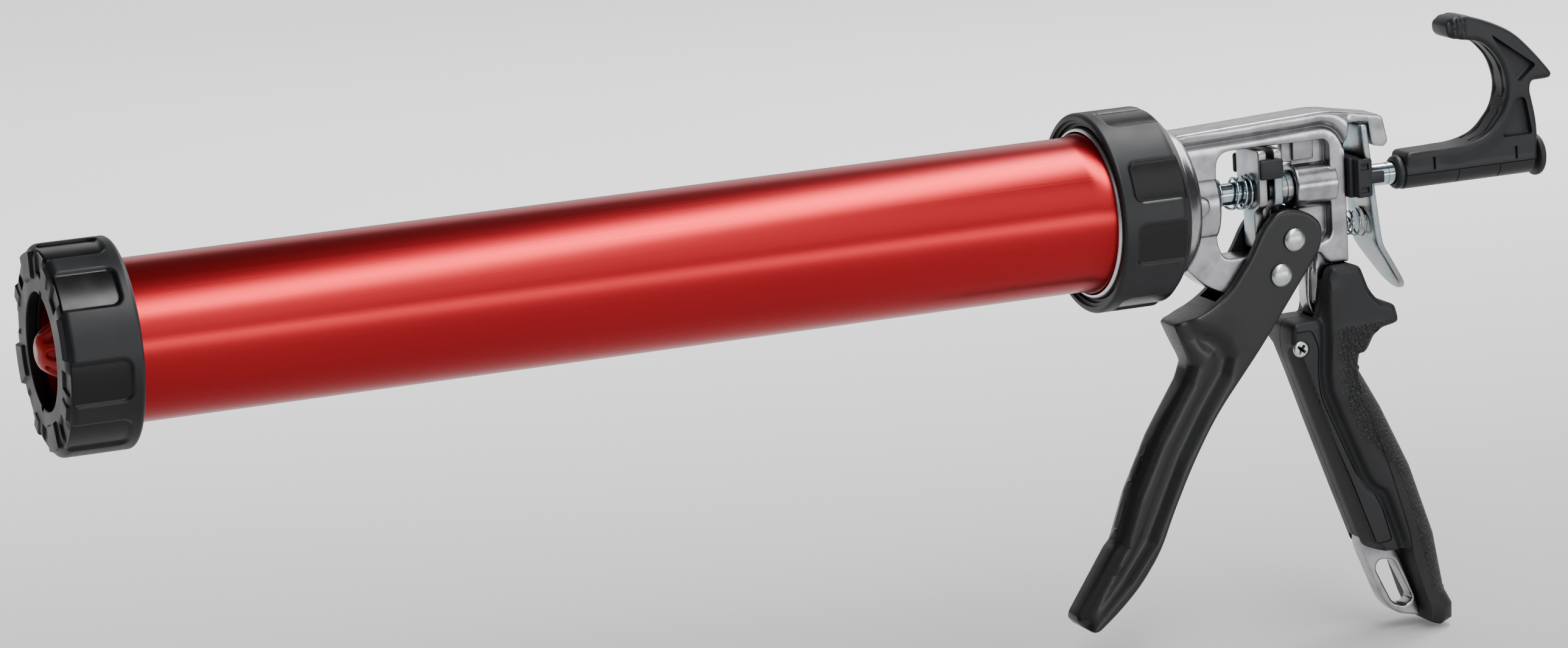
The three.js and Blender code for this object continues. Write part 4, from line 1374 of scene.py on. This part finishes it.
def studio():
    floor = bpy.data.meshes.new("floor")
    floor.from_pydata([(-9, -6, 0), (9, -6, 0), (9, 14, 0), (-9, 14, 0)], [], [(0, 1, 2, 3)])
    ground = bpy.data.objects.new("floor", floor)
    ground.location.z = -0.0005
    bpy.context.scene.collection.objects.link(ground)
    material, tree, shader, place = nodes_of("floor_paper_painted_glow")
    shader.inputs["Roughness"].default_value = 0.85
    shader.inputs["Specular IOR Level"].default_value = 0.1
    # The floor glows as painted light: its emission grows from none just in front of the gun to full strength behind
    # it, lighting the gun from below like a bright surround.
    shader.inputs["Emission Color"].default_value = (1, 1, 1, 1)
    place_y = tree.nodes.new("ShaderNodeSeparateXYZ")
    tree.links.new(place, place_y.inputs["Vector"])
    tree.links.new(ranged(tree, place_y.outputs["Y"], 0, 1.3, -0.1, 0.9), shader.inputs["Emission Strength"])
    paper = blended(tree, noise(tree, place, 900, 2), [(0.48, 0.48, 0.48), (0.52, 0.52, 0.52)], [0.3, 0.7])
    tree.links.new(paper, shader.inputs["Base Color"])
    ground.data.materials.append(material)
    world = bpy.data.worlds.new("studio")
    bpy.context.scene.world = world
    world.use_nodes = True
    world.node_tree.nodes["Background"].inputs["Color"].default_value = (1, 1, 1, 1)
    world.node_tree.nodes["Background"].inputs["Strength"].default_value = 0.05
    middle = (-0.08, 0, 0.166)
    area_light("key_strip", middle, (0.351, -0.2, 0.913), 1.2, (2.2, 0.26), 29)
    area_light("low_strip", middle, (0.351, -0.934, 0.03), 1.5, (2.2, 0.26), 10)
    area_light("front_panel", middle, (0.351, -0.75, 0.5), 1.5, (2.2, 0.75), 8)
    area_light("front_fill", middle, (-0.7, -0.6, 0.5), 1.6, (0.5, 0.5), 0.8)
    area_light("rear_rim", (0.2, 0, 0.1), (0.9, 0.5, 0.5), 1.5, (0.8, 0.8), 8)
    area_light("back_panel", middle, (0.351, 0.9, 0.36), 1.6, (2.6, 0.9), 7)


def camera():
    data = bpy.data.cameras.new("camera")
    data.lens = 123.94
    data.sensor_width = 36
    view = bpy.data.objects.new("camera", data)
    bpy.context.scene.collection.objects.link(view)
    azimuth, elevation, roll, reach = math.radians(-21.04), math.radians(11.88), math.radians(-3.32), 1.8374
    back = Vector(
        (math.sin(azimuth) * math.cos(elevation), -math.cos(azimuth) * math.cos(elevation), math.sin(elevation))
    )
    level = Vector((math.cos(azimuth), math.sin(azimuth), 0))
    up = back.cross(level)
    right = math.cos(roll) * level + math.sin(roll) * up
    top = back.cross(right)
    target = TO_ROW @ Vector((256.9, 0, -24.4))
    axes = Matrix((right, top, back)).transposed().to_4x4()
    view.matrix_world = Matrix.Translation(target + back * reach) @ axes
    data.clip_start, data.clip_end = 0.05, 40
    bpy.context.scene.camera = view


barrel_tube()
front_cap()
rear_collar()
ring_pieces()
plunger()
push_rod()
pull_hook()
frame_casting()
grip_shells()
grip_backstrap()
grip_screw()
trigger()
rivet("pivot_rivet", *PIVOT)
rivet("drive_rivet", *DRIVE_PIN)
drive_plates()
release_pieces()
springs()
studio()
camera()
